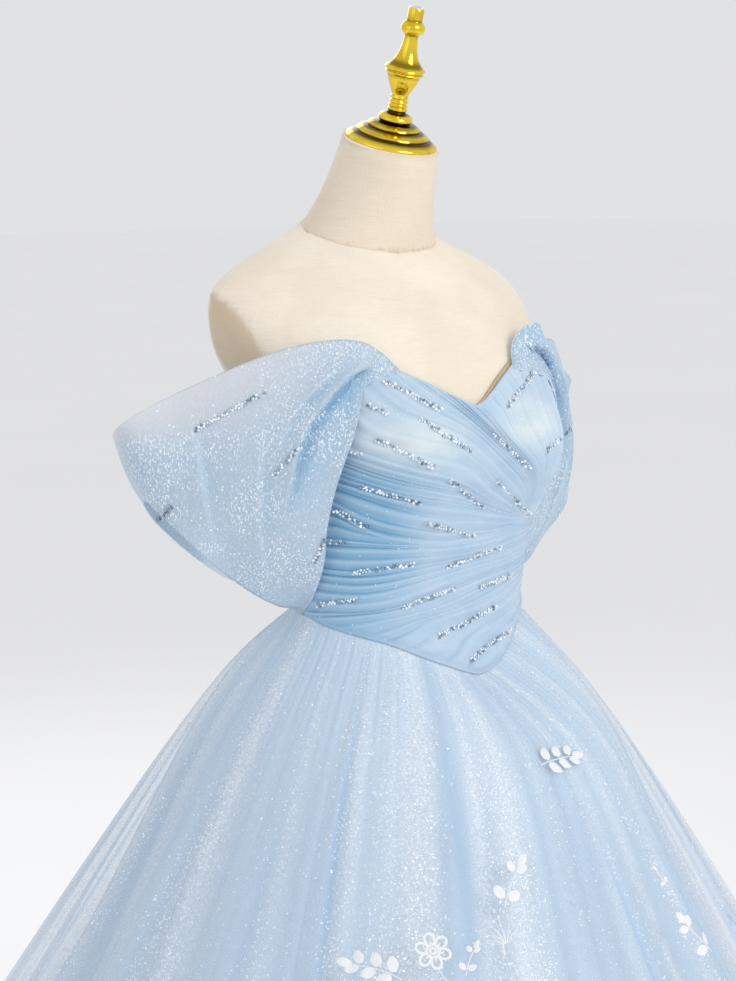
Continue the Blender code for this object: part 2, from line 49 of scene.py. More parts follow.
SENSOR = 36
CLEAR_LAYERS = 32

scene = bpy.context.scene
bpy.ops.object.camera_add(location=CAMERA_PLACE, rotation=(math.pi / 2 - CAMERA_DIP, 0, CAMERA_TURN))
camera = bpy.context.object
camera.data.sensor_width = SENSOR
camera.data.lens = FOCAL_PIXELS * SENSOR / PHOTO_HEIGHT
scene.camera = camera
scene.view_settings.view_transform = "Standard"
scene.cycles.transparent_max_bounces = CLEAR_LAYERS


def add_node(made, kind, inputs=(), **settings):
    """A shader node with its settings. Inputs are values, or outputs of other nodes."""
    new = made.node_tree.nodes.new("ShaderNode" + kind)
    for key, value in settings.items():
        setattr(new, key, value)
    for socket, value in dict(inputs).items():
        if isinstance(value, bpy.types.NodeSocket):
            made.node_tree.links.new(value, new.inputs[socket])
        else:
            new.inputs[socket].default_value = value
    return new


def new_finish(name, **shine):
    """A material and its Principled shader, with the shader's plain values set by name."""
    made = bpy.data.materials.new(name)
    made.use_nodes = True
    shader = made.node_tree.nodes["Principled BSDF"]
    for socket, value in shine.items():
        shader.inputs[socket.replace("_", " ")].default_value = value
    return made, shader


def wire(made, shader, **sources):
    """Outputs of other nodes, led to the shader's sockets by name."""
    for socket, source in sources.items():
        made.node_tree.links.new(source, shader.inputs[socket.replace("_", " ")])


def place_of(made, stretch=(1, 1, 1)):
    """Object coordinates, stretched along the axes."""
    where = add_node(made, "TexCoord").outputs["Object"]
    return add_node(made, "Mapping", {"Vector": where, "Scale": stretch}).outputs["Vector"]


def clouds(made, scale, detail=3.0, stretch=(1, 1, 1), low=0.35, high=0.65):
    """Soft uneven patches from 0 to 1."""
    noise = add_node(made, "TexNoise", {"Vector": place_of(made, stretch), "Scale": scale, "Detail": detail})
    return ramp(made, noise.outputs["Fac"], low, high)


def ramp(made, value, low, high, to_low=0.0, to_high=1.0):
    """A value from low to high, eased to another range."""
    inputs = {"Value": value, "From Min": low, "From Max": high, "To Min": to_low, "To Max": to_high}
    return add_node(made, "MapRange", inputs, interpolation_type="SMOOTHSTEP").outputs["Result"]


def blended(made, share, first, second):
    """A colour between two colours, each a value or another node's output."""
    colours = [(*c, 1.0) if isinstance(c, tuple) else c for c in (first, second)]
    mix = add_node(made, "Mix", {0: share, 6: colours[0], 7: colours[1]}, data_type="RGBA")
    return mix.outputs[2]


FLOOR_SIZE = 60
FLOOR_GREY, FLOOR_PALE = (0.975, 0.975, 0.975), (0.985, 0.985, 0.985)
FLOOR_PATCHES = 0.8
KEY_LIGHT = {
    "place": (0.25, -2.7, 2.5), "aim": (0.0, 0.0, 1.05),
    "size": 1.5, "watts": 34, "colour": (1.0, 0.985, 0.96),
}
FILL_LIGHT = {
    "place": (-2.6, -0.5, 1.9), "aim": (0.0, 0.0, 1.0),
    "size": 2.2, "watts": 5, "colour": (0.94, 0.97, 1.0),
}
BACK_LIGHT = {
    "place": (1.2, 2.8, 2.6), "aim": (0.0, 0.0, 1.0),
    "size": 2.2, "watts": 17, "colour": (0.97, 0.98, 1.0),
}
ROOM_COLOUR, ROOM_STRENGTH = (0.97, 0.975, 0.99), 0.78

for light in (KEY_LIGHT, FILL_LIGHT, BACK_LIGHT):
    aim = Vector(light["aim"]) - Vector(light["place"])
    turn = aim.to_track_quat("-Z", "Y").to_euler()
    bpy.ops.object.light_add(type="AREA", location=light["place"], rotation=turn)
    lamp = bpy.context.object.data
    lamp.size, lamp.energy, lamp.color = light["size"], light["watts"], light["colour"]
room = bpy.data.worlds.new("room")
room.use_nodes = True
scene.world = room
sky = room.node_tree.nodes["Background"]
sky.inputs["Color"].default_value = (*ROOM_COLOUR, 1.0)
sky.inputs["Strength"].default_value = ROOM_STRENGTH
bpy.ops.mesh.primitive_plane_add(size=FLOOR_SIZE)
floor = bpy.context.object
floor.name = "floor"
floor_finish, floor_shader = new_finish("floor_paper", Roughness=0.9)
floor_colour = blended(floor_finish, clouds(floor_finish, FLOOR_PATCHES), FLOOR_GREY, FLOOR_PALE)
wire(floor_finish, floor_shader, Base_Color=floor_colour)
floor.data.materials.append(floor_finish)


# The form's body and neck. The real ones are padded shells under cream linen, drawn smooth, with
# a seam round the base of the neck and round the flat plate at each armhole.
MERGE_WITHIN = 1e-5
QUAD_ANGLE, SHARP_EDGE = math.radians(60), math.radians(48)
SMOOTH_LEVELS = 2


def smooth_copy(node, name):
    """A merged, smoothed copy of a CAD node that stands for it. Its sharp edges stay sharp."""
    made = bpy.data.objects.new(name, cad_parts[node].data.copy())
    scene.collection.objects.link(made)
    bpy.ops.object.select_all(action="DESELECT")
    made.select_set(True)
    bpy.context.view_layer.objects.active = made
    bpy.ops.object.mode_set(mode="EDIT")
    bpy.ops.mesh.select_mode(type="EDGE")
    bpy.ops.mesh.select_all(action="SELECT")
    bpy.ops.mesh.remove_doubles(threshold=MERGE_WITHIN)
    bpy.ops.mesh.tris_convert_to_quads(face_threshold=QUAD_ANGLE, shape_threshold=QUAD_ANGLE)
    bpy.ops.mesh.select_all(action="DESELECT")
    bpy.ops.mesh.edges_select_sharp(sharpness=SHARP_EDGE)
    bpy.ops.transform.edge_crease(value=1)
    bpy.ops.object.mode_set(mode="OBJECT")
    smoother = made.modifiers.new("smooth", "SUBSURF")
    smoother.levels = smoother.render_levels = SMOOTH_LEVELS
    bpy.ops.object.modifier_apply(modifier=smoother.name)
    bpy.ops.object.shade_smooth_by_angle(angle=SHARP_EDGE)
    made.data.materials.clear()
    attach(made, "root")
    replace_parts(made, node)
    return made


def times(made, first, second, how="MULTIPLY"):
    """Two values multiplied, or joined by another sum."""
    return add_node(made, "Math", {0: first, 1: second}, operation=how).outputs["Value"]


def raised(made, height, distance):
    """A bumped normal."""
    inputs = {"Height": height, "Distance": distance, "Strength": 1.0}
    return add_node(made, "Bump", inputs).outputs["Normal"]


def darken_linen(piece, amounts):
    """Marks how far each point of the linen is darkened, from 0 to 1: painted shade on the arm plates, a
    darker tone on the neck and its seam.
    """
    piece.data.attributes.new("painted_shade_and_darker_tone", "FLOAT", "POINT").data.foreach_set("value", amounts)


LINEN_PALE, LINEN_WARM, LINEN_SLUB = (0.88, 0.80, 0.685), (0.82, 0.73, 0.605), (0.70, 0.60, 0.47)
# the darkening colour: painted shade on the arm plates, a darker tone of the linen on the neck and its seam
LINEN_SHADE_AND_DARK_TONE = (0.60, 0.45, 0.29)
LINEN_MOTTLE, LINEN_SLUBS, LINEN_THREAD = 14, 260, 900
THREADS_ROUND, THREADS_DOWN, SLUBS_ROUND = (1, 1, 0.06), (0.05, 0.05, 1), (0.12, 0.12, 1)
SLUBS_SHOW, WEAVE_SHOWS, WEAVE_RISE = 0.22, 0.14, 0.0004

linen, linen_shader = new_finish(
    "cream_linen", Roughness=0.86, Sheen_Weight=0.25, Sheen_Roughness=0.5, Specular_IOR_Level=0.25,
)
threads = []
for stretch in (THREADS_ROUND, THREADS_DOWN):
    thread_inputs = {"Vector": place_of(linen, stretch), "Scale": LINEN_THREAD, "Detail": 1.0}
    threads.append(add_node(linen, "TexNoise", thread_inputs).outputs["Fac"])
weave = times(linen, *threads, how="ADD")
slubs = clouds(linen, LINEN_SLUBS, stretch=SLUBS_ROUND, low=0.62, high=0.75)
cloth_colour = blended(linen, clouds(linen, LINEN_MOTTLE), LINEN_PALE, LINEN_WARM)
cloth_colour = blended(linen, times(linen, slubs, SLUBS_SHOW), cloth_colour, LINEN_SLUB)
cloth_colour = blended(linen, ramp(linen, weave, 0.8, 1.25, 0.0, WEAVE_SHOWS), cloth_colour, LINEN_SLUB)
painted_shade_and_darker_tone = add_node(linen, "Attribute", attribute_name="painted_shade_and_darker_tone").outputs["Fac"]
cloth_colour = blended(linen, painted_shade_and_darker_tone, cloth_colour, LINEN_SHADE_AND_DARK_TONE)
wire(linen, linen_shader, Base_Color=cloth_colour, Normal=raised(linen, weave, WEAVE_RISE))

torso = smooth_copy("form_torso", "linen_torso")
neck = smooth_copy("form_neck", "linen_neck")

PLATE_FROM_X, PLATE_FROM_Z = 0.12, 1.20
PLATE_NORMAL, PLATE_TURN, PLATE_PAINTED_SHADE = 0.88, 0.06, 0.72
NECK_DARKER_TONE = 0.24
NECK_SUNK, NECK_FOOT_BELOW, FACES_DOWN = 0.004, 1.42, -0.5

# painted shade on the arm plates, where the linen is flat and faces sideways high on the body
plates = []
for vertex in torso.data.vertices:
    flatness = min(max((abs(vertex.normal.x) - PLATE_NORMAL) / PLATE_TURN, 0), 1)
    on_side = abs(vertex.co.x) > PLATE_FROM_X and vertex.co.z > PLATE_FROM_Z
    plates.append(PLATE_PAINTED_SHADE * flatness if on_side else 0.0)
darken_linen(torso, plates)
for vertex in neck.data.vertices:
    if vertex.normal.z < FACES_DOWN and vertex.co.z < NECK_FOOT_BELOW:
        vertex.co.z -= NECK_SUNK
# the neck's linen is darker and warmer all over
darken_linen(neck, [NECK_DARKER_TONE] * len(neck.data.vertices))
for padded_shell in (torso, neck):
    padded_shell.data.materials.append(linen)

# the seam that joins the neck's cover to the body's: a fine ridge along the line where they meet
SEAM_CORD, SEAM_DARKER_TONE = 0.0008, 0.45
SEAM_STEPS, SEAM_SIDES = 120, 8
NECK_MIDDLE = (0.0, 0.020)
SEAM_LOW, SEAM_HIGH, SEAM_TRIES = 1.33, 1.47, 16
FROM_OUTSIDE, FROM_ABOVE = 0.3, 1.6


def surface_of(piece):
    """A piece's surface, for finding where a line meets it."""
    return BVHTree.FromObject(piece, bpy.context.evaluated_depsgraph_get())


def tube(name, path, radius, sides, finish):
    """A closed cord along a ring of points, slightly sunk in what it lies on."""
    corners, faces = [], []
    for n, point in enumerate(path):
        along = (path[(n + 1) % len(path)] - path[n - 1]).normalized()
        across = along.cross(Vector((0, 0, 1))).normalized()
        up = across.cross(along)
        for side in range(sides):
            turn = 2 * math.pi * side / sides
            corners.append(point + radius * (math.cos(turn) * across + math.sin(turn) * up))
            near, far = n * sides, ((n + 1) % len(path)) * sides
            after = (side + 1) % sides
            faces.append((near + side, near + after, far + after, far + side))
    mesh = bpy.data.meshes.new(name)
    mesh.from_pydata(corners, [], faces)
    mesh.polygons.foreach_set("use_smooth", [True] * len(faces))
    mesh.materials.append(finish)
    cord = bpy.data.objects.new(name, mesh)
    scene.collection.objects.link(cord)
    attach(cord, "root")
    return cord


def neck_seam_path():
    """Where the neck's wall meets the body, found by halving the height between two bounds."""
    body, wall = surface_of(torso), surface_of(neck)
    path = []
    for n in range(SEAM_STEPS):
        turn = 2 * math.pi * n / SEAM_STEPS
        outward = Vector((math.sin(turn), -math.cos(turn), 0))
        low, high = SEAM_LOW, SEAM_HIGH
        for _ in range(SEAM_TRIES):
            height = (low + high) / 2
            place = wall.ray_cast(Vector((*NECK_MIDDLE, height)) + FROM_OUTSIDE * outward, -outward)[0]
            above = body.ray_cast(Vector((*place.xy, FROM_ABOVE)), Vector((0, 0, -1)))[0] if place else None
            if place is None or (above is not None and above.z > height):
                low = height
            else:
                high, found = height, place
        path.append(found)
    return path


neck_seam = tube("neck_seam", neck_seam_path(), SEAM_CORD, SEAM_SIDES, linen)
darken_linen(neck_seam, [SEAM_DARKER_TONE] * len(neck_seam.data.vertices))


# The gold cap and finial. The real ones are turned from brass and plated, a stepped cap over the
# neck's top and a slim vase-shaped finial screwed into it, both leaning with the neck.
NECK_LEAN = math.radians(17)
CAP_FOOT = (0, 0.0053, 1.4992)
CAP_PROFILE = (
    (0.0440, 0.0000), (0.0442, 0.0010), (0.0438, 0.0022), (0.0425, 0.0032), (0.0400, 0.0046),
    (0.0378, 0.0062), (0.0364, 0.0070), (0.0356, 0.0070), (0.0348, 0.0082), (0.0346, 0.0094),
    (0.0338, 0.0102), (0.0312, 0.0114), (0.0288, 0.0128), (0.0272, 0.0134), (0.0262, 0.0134),
    (0.0254, 0.0146), (0.0252, 0.0158), (0.0244, 0.0166), (0.0222, 0.0176), (0.0198, 0.0186),
    (0.0180, 0.0190), (0.0158, 0.0190), (0.0150, 0.0198), (0.0158, 0.0208), (0.0166, 0.0222),
    (0.0166, 0.0238), (0.0156, 0.0256), (0.0138, 0.0270), (0.0112, 0.0280),
)
FINIAL_PROFILE = (
    (0.0100, 0.0282), (0.0086, 0.0292), (0.0084, 0.0302), (0.0094, 0.0310), (0.0098, 0.0318),
    (0.0092, 0.0326), (0.0081, 0.0333), (0.0081, 0.0340), (0.0092, 0.0348), (0.0095, 0.0355),
    (0.0089, 0.0363), (0.0078, 0.0371), (0.0078, 0.0379), (0.0088, 0.0387), (0.0091, 0.0395),
    (0.0085, 0.0403), (0.0075, 0.0412), (0.0075, 0.0420), (0.0084, 0.0428), (0.0086, 0.0436),
    (0.0080, 0.0446), (0.0078, 0.0456), (0.0084, 0.0472), (0.0098, 0.0500), (0.0118, 0.0540),
    (0.0136, 0.0580), (0.0150, 0.0618), (0.0158, 0.0645), (0.0161, 0.0656), (0.0176, 0.0662),
    (0.0184, 0.0670), (0.0180, 0.0679), (0.0170, 0.0684), (0.0170, 0.0690), (0.0186, 0.0698),
    (0.0194, 0.0708), (0.0190, 0.0718), (0.0176, 0.0728), (0.0158, 0.0742), (0.0136, 0.0768),
    (0.0114, 0.0802), (0.0097, 0.0840), (0.0084, 0.0880), (0.0075, 0.0925), (0.0069, 0.0970),
    (0.0066, 0.1010), (0.0066, 0.1030), (0.0080, 0.1040), (0.0102, 0.1056), (0.0113, 0.1080),
    (0.0114, 0.1104), (0.0106, 0.1130), (0.0090, 0.1150), (0.0076, 0.1158), (0.0072, 0.1168),
    (0.0074, 0.1190), (0.0075, 0.1262), (0.0072, 0.1282), (0.0064, 0.1289), (0.0052, 0.1289),
    (0.0046, 0.1280),
)
TURNED_STEPS, TURNED_SHARP = 72, math.radians(60)
TIP_HEIGHT, TIP_RADIUS = 0.1270, 0.0066

GOLD_BRIGHT, GOLD_WORN = (0.95, 0.71, 0.07), (0.76, 0.51, 0.03)
GOLD_HOLLOW_SHADE, GOLD_TIP = (0.07, 0.035, 0.006), (0.80, 0.80, 0.76)
GOLD_SMEARS, GOLD_HAIRLINES, HAIRLINES_ROUND = 55, 1400, (0.08, 0.08, 1)
GOLD_ROUGH, HAIRLINE_ROUGH, HAIRLINE_RISE = (0.07, 0.16), 0.03, 0.00001
# the grooves between the turned rings get painted shade, darker the deeper they sink
HOLLOW_REACH, HOLLOW_DEPTH = 0.0042, 0.0030
gold, gold_shader = new_finish("plated_gold", Metallic=1.0)
smears = clouds(gold, GOLD_SMEARS, low=0.4, high=0.75)
hairlines = clouds(gold, GOLD_HAIRLINES, stretch=HAIRLINES_ROUND, low=0.3, high=0.7)
hollow_shade = add_node(gold, "Attribute", attribute_name="hollow_shade").outputs["Fac"]
tip = add_node(gold, "Attribute", attribute_name="tip").outputs["Fac"]
gold_colour = blended(gold, smears, GOLD_BRIGHT, GOLD_WORN)
gold_colour = blended(gold, hollow_shade, gold_colour, GOLD_HOLLOW_SHADE)
smeared, scored = ramp(gold, smears, 0, 1, *GOLD_ROUGH), ramp(gold, hairlines, 0, 1, 0.0, HAIRLINE_ROUGH)
wire(
    gold, gold_shader,
    Base_Color=blended(gold, tip, gold_colour, GOLD_TIP),
    Roughness=times(gold, smeared, scored, how="ADD"),
    Normal=raised(gold, hairlines, HAIRLINE_RISE),
)


def turned(name, profile):
    """A solid turned on a leaning axis: a disc drawn up ring by ring, as on a lathe."""
    start, low = profile[0]
    bpy.ops.mesh.primitive_circle_add(
        vertices=TURNED_STEPS, radius=start, fill_type="NGON", location=(0, 0, low),
    )
    solid = bpy.context.object
    solid.name = name
    bpy.ops.object.transform_apply(location=True, rotation=False, scale=False)
    bpy.ops.object.mode_set(mode="EDIT")
    for (radius, height), (wider, higher) in zip(profile, profile[1:]):
        bpy.ops.mesh.extrude_region_move(TRANSFORM_OT_translate={"value": (0, 0, higher - height)})
        bpy.ops.transform.resize(value=(wider / radius, wider / radius, 1))
    bpy.ops.mesh.select_all(action="SELECT")
    bpy.ops.mesh.normals_make_consistent(inside=False)
    bpy.ops.object.mode_set(mode="OBJECT")
    # painted shade in the grooves, by how far the surface sinks below the profile nearby, and a paler tip
    hollow_shades = solid.data.attributes.new("hollow_shade", "FLOAT", "POINT")
    tips = solid.data.attributes.new("tip", "FLOAT", "POINT")
    for vertex, sunk, pale in zip(solid.data.vertices, hollow_shades.data, tips.data):
        radius = math.hypot(vertex.co.x, vertex.co.y)
        around_it = [r for r, h in CAP_PROFILE + FINIAL_PROFILE if abs(h - vertex.co.z) < HOLLOW_REACH]
        wall = (sum(around_it) / len(around_it) + max(around_it)) / 2
        depth = min(max((wall - radius) / HOLLOW_DEPTH, 0.0), 1.0)
        sunk.value = depth ** 2 if vertex.co.z < TIP_HEIGHT else 0.0
        pale.value = 1.0 if vertex.co.z > TIP_HEIGHT and radius < TIP_RADIUS else 0.0
    solid.rotation_euler = (NECK_LEAN, 0, 0)
    solid.location = CAP_FOOT
    bpy.ops.object.transform_apply(location=True, rotation=True, scale=True)
    bpy.ops.object.shade_smooth_by_angle(angle=TURNED_SHARP)
    solid.data.materials.append(gold)
    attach(solid, "root")
    return solid


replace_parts(turned("turned_cap", CAP_PROFILE), "form_neck_cap")
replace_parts(turned("turned_finial", FINIAL_PROFILE), "form_finial")

# under the cap, a thin roll of linen hides the raw edge of the neck's cover
ROLL_RADIUS, ROLL_THICK, ROLL_BELOW_CAP = 0.0448, 0.0013, 0.0012
ROLL_STEPS, ROLL_SIDES = 96, 10

along_neck = Vector((0, -math.sin(NECK_LEAN), math.cos(NECK_LEAN)))
bpy.ops.mesh.primitive_torus_add(
    location=Vector(CAP_FOOT) - ROLL_BELOW_CAP * along_neck, rotation=(NECK_LEAN, 0, 0),
    major_segments=ROLL_STEPS, minor_segments=ROLL_SIDES,
    major_radius=ROLL_RADIUS, minor_radius=ROLL_THICK,
)
roll = bpy.context.object
roll.name = "neck_top_piping"
bpy.ops.object.transform_apply(location=True, rotation=True, scale=True)
bpy.ops.object.shade_smooth()
roll.data.materials.append(linen)
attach(roll, "root")


# The stand, hidden by the skirt: a steel pole with a flange under the hip, and a round foot, both
# plated like the finial but handled more. The CAD solids have the right shape and stay.
STAND_BRIGHT, STAND_WORN = (0.85, 0.60, 0.14), (0.70, 0.47, 0.10)
STAND_SMEARS, STAND_BRUSHING, BRUSHED_DOWN = 20, 500, (1, 1, 0.04)
STAND_ROUGH, BRUSHING_RISE = (0.22, 0.38), 0.00005

stand_gold, stand_shader = new_finish("brushed_gold", Metallic=1.0)
brushing = clouds(stand_gold, STAND_BRUSHING, stretch=BRUSHED_DOWN, low=0.3, high=0.7)
wire(
    stand_gold, stand_shader,
    Base_Color=blended(stand_gold, clouds(stand_gold, STAND_SMEARS), STAND_BRIGHT, STAND_WORN),
    Roughness=ramp(stand_gold, brushing, 0, 1, *STAND_ROUGH),
    Normal=raised(stand_gold, brushing, BRUSHING_RISE),
)
for node in ("stand_base", "stand_pole"):
    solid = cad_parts[node]
    for place in solid.material_slots:
        place.material = stand_gold


# The bodice. The real one is a boned bodice with soft cups, faced in fine blue tulle laid in
# narrow pleats: the upper front is drawn from the neckline and the wearer's right side to one
# point under the left cup, and the lower front fans out from the wearer's left side seam.
BODY_AXIS_Y = -0.010
BODY_RADIUS = 0.131
LINING_GAP = 0.0010
TORSO_INSET = 0.0025
INSET_ENDS = math.radians(127)
TULLE_THICK = 0.0016
# Rows hold an angle round the body in degrees, from the centre front, and a height.
NECKLINE = (
    (-180, 1.2460), (-150, 1.2453), (-120, 1.2431), (-105, 1.2422), (-90, 1.2445), (-80, 1.2505),
    (-72, 1.2635), (-64, 1.2830), (-56, 1.2925), (-47, 1.2946), (-40, 1.2925), (-34, 1.2875),
    (-27, 1.2812), (-20, 1.2742), (-12, 1.2665), (-6, 1.2612), (-2.5, 1.2592), (2, 1.2616), (8, 1.2695),
    (15, 1.2785), (23, 1.2866), (31, 1.2930), (39, 1.2962), (47, 1.2972), (55, 1.2945), (64, 1.2841),
    (72, 1.2635), (80, 1.2505), (90, 1.2445), (105, 1.2422), (120, 1.2431), (150, 1.2453), (180, 1.2460),
)
WAIST_SEAM = (
    (-180, 1.0600), (-120, 1.0600), (-90, 1.0578), (-75, 1.0515), (-60, 1.0445), (-45, 1.0360), (-27, 1.0214),
    (-10, 1.0088), (0, 1.0022), (6, 0.9992), (13, 1.0010), (22, 1.0062), (31, 1.0150), (42, 1.0268),
    (56, 1.0400), (64, 1.0465), (72, 1.0522), (90, 1.0578), (120, 1.0600), (180, 1.0600),
)
PARTING = (
    (-90, 1.178), (-66, 1.165), (-58, 1.151), (-50, 1.141), (-38, 1.134), (-18, 1.127), (-10, 1.129),
    (10, 1.129), (24, 1.134), (37, 1.141), (60, 1.144), (90, 1.145),
)

torso_skin = surface_of(torso)


def smooth_read(pairs, at):
    """The value at a key, on a smooth curve through rows of keys and values."""
    keys, values = zip(*pairs)
    at = min(max(at, keys[0]), keys[-1])
    last = len(keys) - 1
    i = next((n for n in range(last - 1) if at <= keys[n + 1]), last - 1)

    def slope(n):
        """Slope of the curve at a row."""
        low, high = max(n - 1, 0), min(n + 1, last)
        return (values[high] - values[low]) / (keys[high] - keys[low])

    span = keys[i + 1] - keys[i]
    t = (at - keys[i]) / span
    from_here = values[i] * (1 + 2 * t) * (1 - t) ** 2 + slope(i) * span * t * (1 - t) ** 2
    from_next = values[i + 1] * t * t * (3 - 2 * t) + slope(i + 1) * span * t * t * (t - 1)
    return from_here + from_next


def ease(x):
    """0 below 0, 1 above 1, and smooth between."""
    x = min(max(x, 0.0), 1.0)
    return x * x * (3 - 2 * x)


def spread(low, high, steps):
    """steps + 1 values from low to high."""
    return [low + (high - low) * n / steps for n in range(steps + 1)]


def bell(x, middle, width):
    """1 at the middle, and falling softly to 0 on both sides."""
    return math.exp(-(((x - middle) / width) ** 2))


def outward_at(angle):
    """The level direction outwards at an angle round the body."""
    return Vector((math.sin(angle), -math.cos(angle), 0))


def neckline(angle):
    """Height of the bodice's top edge."""
    return smooth_read(NECKLINE, math.degrees(angle))


def waist_seam(angle):
    """Height of the seam between bodice and skirt."""
    return smooth_read(WAIST_SEAM, math.degrees(angle))


def parting(angle):
    """Height of the line between the bodice's upper and lower front."""
    return smooth_read(PARTING, math.degrees(angle))


def on_form(angle, z, out):
    """A point of the form at an angle and a height, moved out by a distance."""
    outward = outward_at(angle)
    hit = torso_skin.ray_cast(Vector((0, BODY_AXIS_Y, z)), outward)[0]
    inset = TORSO_INSET * ease(2 * (math.cos(angle) - math.cos(INSET_ENDS)))
    return hit + (inset + out) * outward


def sheet_of(name, rows, tones, thick, finishes, middle=(0, BODY_AXIS_Y), inside=None):
    """A sheet of cloth through rows of points. tones are point attributes, as rows of numbers.
    Its outside faces away from the middle. inside may give the rows of its other face."""
    wide, high = len(rows[0]), len(rows)
    mesh = bpy.data.meshes.new(name)
    faces = [
        (r * wide + c, r * wide + c + 1, (r + 1) * wide + c + 1, (r + 1) * wide + c)
        for r in range(high - 1) for c in range(wide - 1)
    ]
    points = [point for row in rows for point in row]
    outer_faces = len(faces)
    if inside:
        first = len(points)
        points += [point for row in inside for point in row]
        faces += [tuple(first + index for index in reversed(face)) for face in faces]
        rim = [c for c in range(wide)] + [r * wide + wide - 1 for r in range(1, high)]
        rim += [(high - 1) * wide + c for c in reversed(range(wide - 1))]
        rim += [r * wide for r in reversed(range(1, high - 1))]
        faces += [(b, a, first + a, first + b) for a, b in zip(rim, rim[1:] + rim[:1])]
        tones = {label: values + values for label, values in tones.items()}
    mesh.from_pydata(points, [], faces)
    if inside:
        for face in mesh.polygons[outer_faces:2 * outer_faces]:
            face.material_index = len(finishes) - 1
    axis = Vector((*middle, 0))
    outer = mesh.polygons[:outer_faces]
    if sum(face.area * face.normal.dot(Vector((*face.center.xy, 0)) - axis) for face in outer) < 0:
        mesh.flip_normals()
    for label, values in tones.items():
        layer = mesh.attributes.new(label, "FLOAT", "POINT")
        layer.data.foreach_set("value", [value for row in values for value in row])
    cloth = bpy.data.objects.new(name, mesh)
    scene.collection.objects.link(cloth)
    for finish in finishes:
        mesh.materials.append(finish)
    bpy.ops.object.select_all(action="DESELECT")
    cloth.select_set(True)
    bpy.context.view_layer.objects.active = cloth
    if thick:
        wall = cloth.modifiers.new("wall", "SOLIDIFY")
        wall.thickness, wall.offset = thick, -1
        wall.material_offset = wall.material_offset_rim = len(finishes) - 1
        bpy.ops.object.modifier_apply(modifier=wall.name)
    bpy.ops.object.shade_smooth()
    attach(cloth, "root")
    return cloth


def tone_of(made, label):
    """A tone that the mesh carries at its points."""
    return add_node(made, "Attribute", attribute_name=label).outputs["Fac"]


def sparkle(made, scale, share, size):
    """Small round spots scattered over a surface: share of the cells have one."""
    cells = add_node(made, "TexVoronoi", {"Vector": place_of(made), "Scale": scale})
    pick = add_node(made, "SeparateColor", {"Color": cells.outputs["Color"]}).outputs["Red"]
    chosen = times(made, pick, share, how="LESS_THAN")
    return times(made, chosen, ramp(made, cells.outputs["Distance"], size, size * 0.5))


BODICE_PALE, BODICE_MID = (0.48, 0.605, 0.735), (0.22, 0.44, 0.64)
BODICE_DOUBLED_TULLE_AND_SHADE, BODICE_CREAM = (0.06, 0.24, 0.43), (0.71, 0.775, 0.77)
BODICE_RIDGE_HIGHLIGHT, BODICE_NET = (0.62, 0.745, 0.86), (0.80, 0.87, 0.94)
BODICE_FLECK = (0.97, 0.98, 1.0)
BODICE_NET_SCALE, BODICE_NET_SHOWS, BODICE_NET_RISE = 1100, 0.10, 0.00012
BODICE_PATCHES, PATCHES_DOWN, PATCHES_SHOW = 26, (1, 1, 2.5), 0.22
FLECK_SCALE, FLECK_SHARE, FLECK_SIZE = 300, 0.12, 0.20
LINING_PALE, LINING_DARK = (0.58, 0.47, 0.30), (0.47, 0.37, 0.22)
LINING_THREAD, LINING_THREAD_DOWN, LINING_THREAD_RISE = 700, (1, 1, 0.2), 0.0001


def tulle_grain(made, scale):
    """The fine net of tulle, as a height."""
    return add_node(made, "TexVoronoi", {"Vector": place_of(made), "Scale": scale}).outputs["Distance"]


pleated, pleated_shader = new_finish(
    "pleated_tulle", Roughness=0.62, Sheen_Weight=0.35, Sheen_Roughness=0.4, Specular_IOR_Level=0.3,
)
net = tulle_grain(pleated, BODICE_NET_SCALE)
patches = clouds(pleated, BODICE_PATCHES, stretch=PATCHES_DOWN)
# the deep tone, from pale to mid blue: painted shade under the right sleeve on the front, an even share on
# the back
blue = blended(pleated, tone_of(pleated, "deep"), BODICE_PALE, BODICE_MID)
blue = blended(pleated, tone_of(pleated, "cup"), blue, BODICE_CREAM)
blue = blended(pleated, times(pleated, patches, PATCHES_SHOW), blue, BODICE_MID)
# painted highlights on the pleats' ridges
blue = blended(pleated, tone_of(pleated, "ridge"), blue, BODICE_RIDGE_HIGHLIGHT)
# painted shade in the pleats' valleys, partly the deeper blue of tulle lying double
blue = blended(pleated, tone_of(pleated, "valley"), blue, BODICE_DOUBLED_TULLE_AND_SHADE)
blue = blended(pleated, ramp(pleated, net, 0.15, 0.7, 0.0, BODICE_NET_SHOWS), blue, BODICE_NET)
blue = blended(pleated, sparkle(pleated, FLECK_SCALE, FLECK_SHARE, FLECK_SIZE), blue, BODICE_FLECK)
wire(pleated, pleated_shader, Base_Color=blue, Normal=raised(pleated, net, BODICE_NET_RISE))

lining, lining_shader = new_finish("cup_lining", Roughness=0.7, Sheen_Weight=0.2)
lining_weave = clouds(lining, LINING_THREAD, detail=2.0, stretch=LINING_THREAD_DOWN, low=0.3, high=0.7)
wire(
    lining, lining_shader,
    Base_Color=blended(lining, lining_weave, LINING_PALE, LINING_DARK),
    Normal=raised(lining, lining_weave, LINING_THREAD_RISE),
)


# a pleat, in shares of its width: it climbs, has a painted highlight before its crest, and just past it
# painted shade, partly the deeper blue of tulle lying double
PLEAT_CLIMB = 0.76
PLEAT_HIGHLIGHT, HIGHLIGHT_WIDTH = 0.58, 0.20
PLEAT_DARK, DARK_WIDTH = 0.93, 0.13


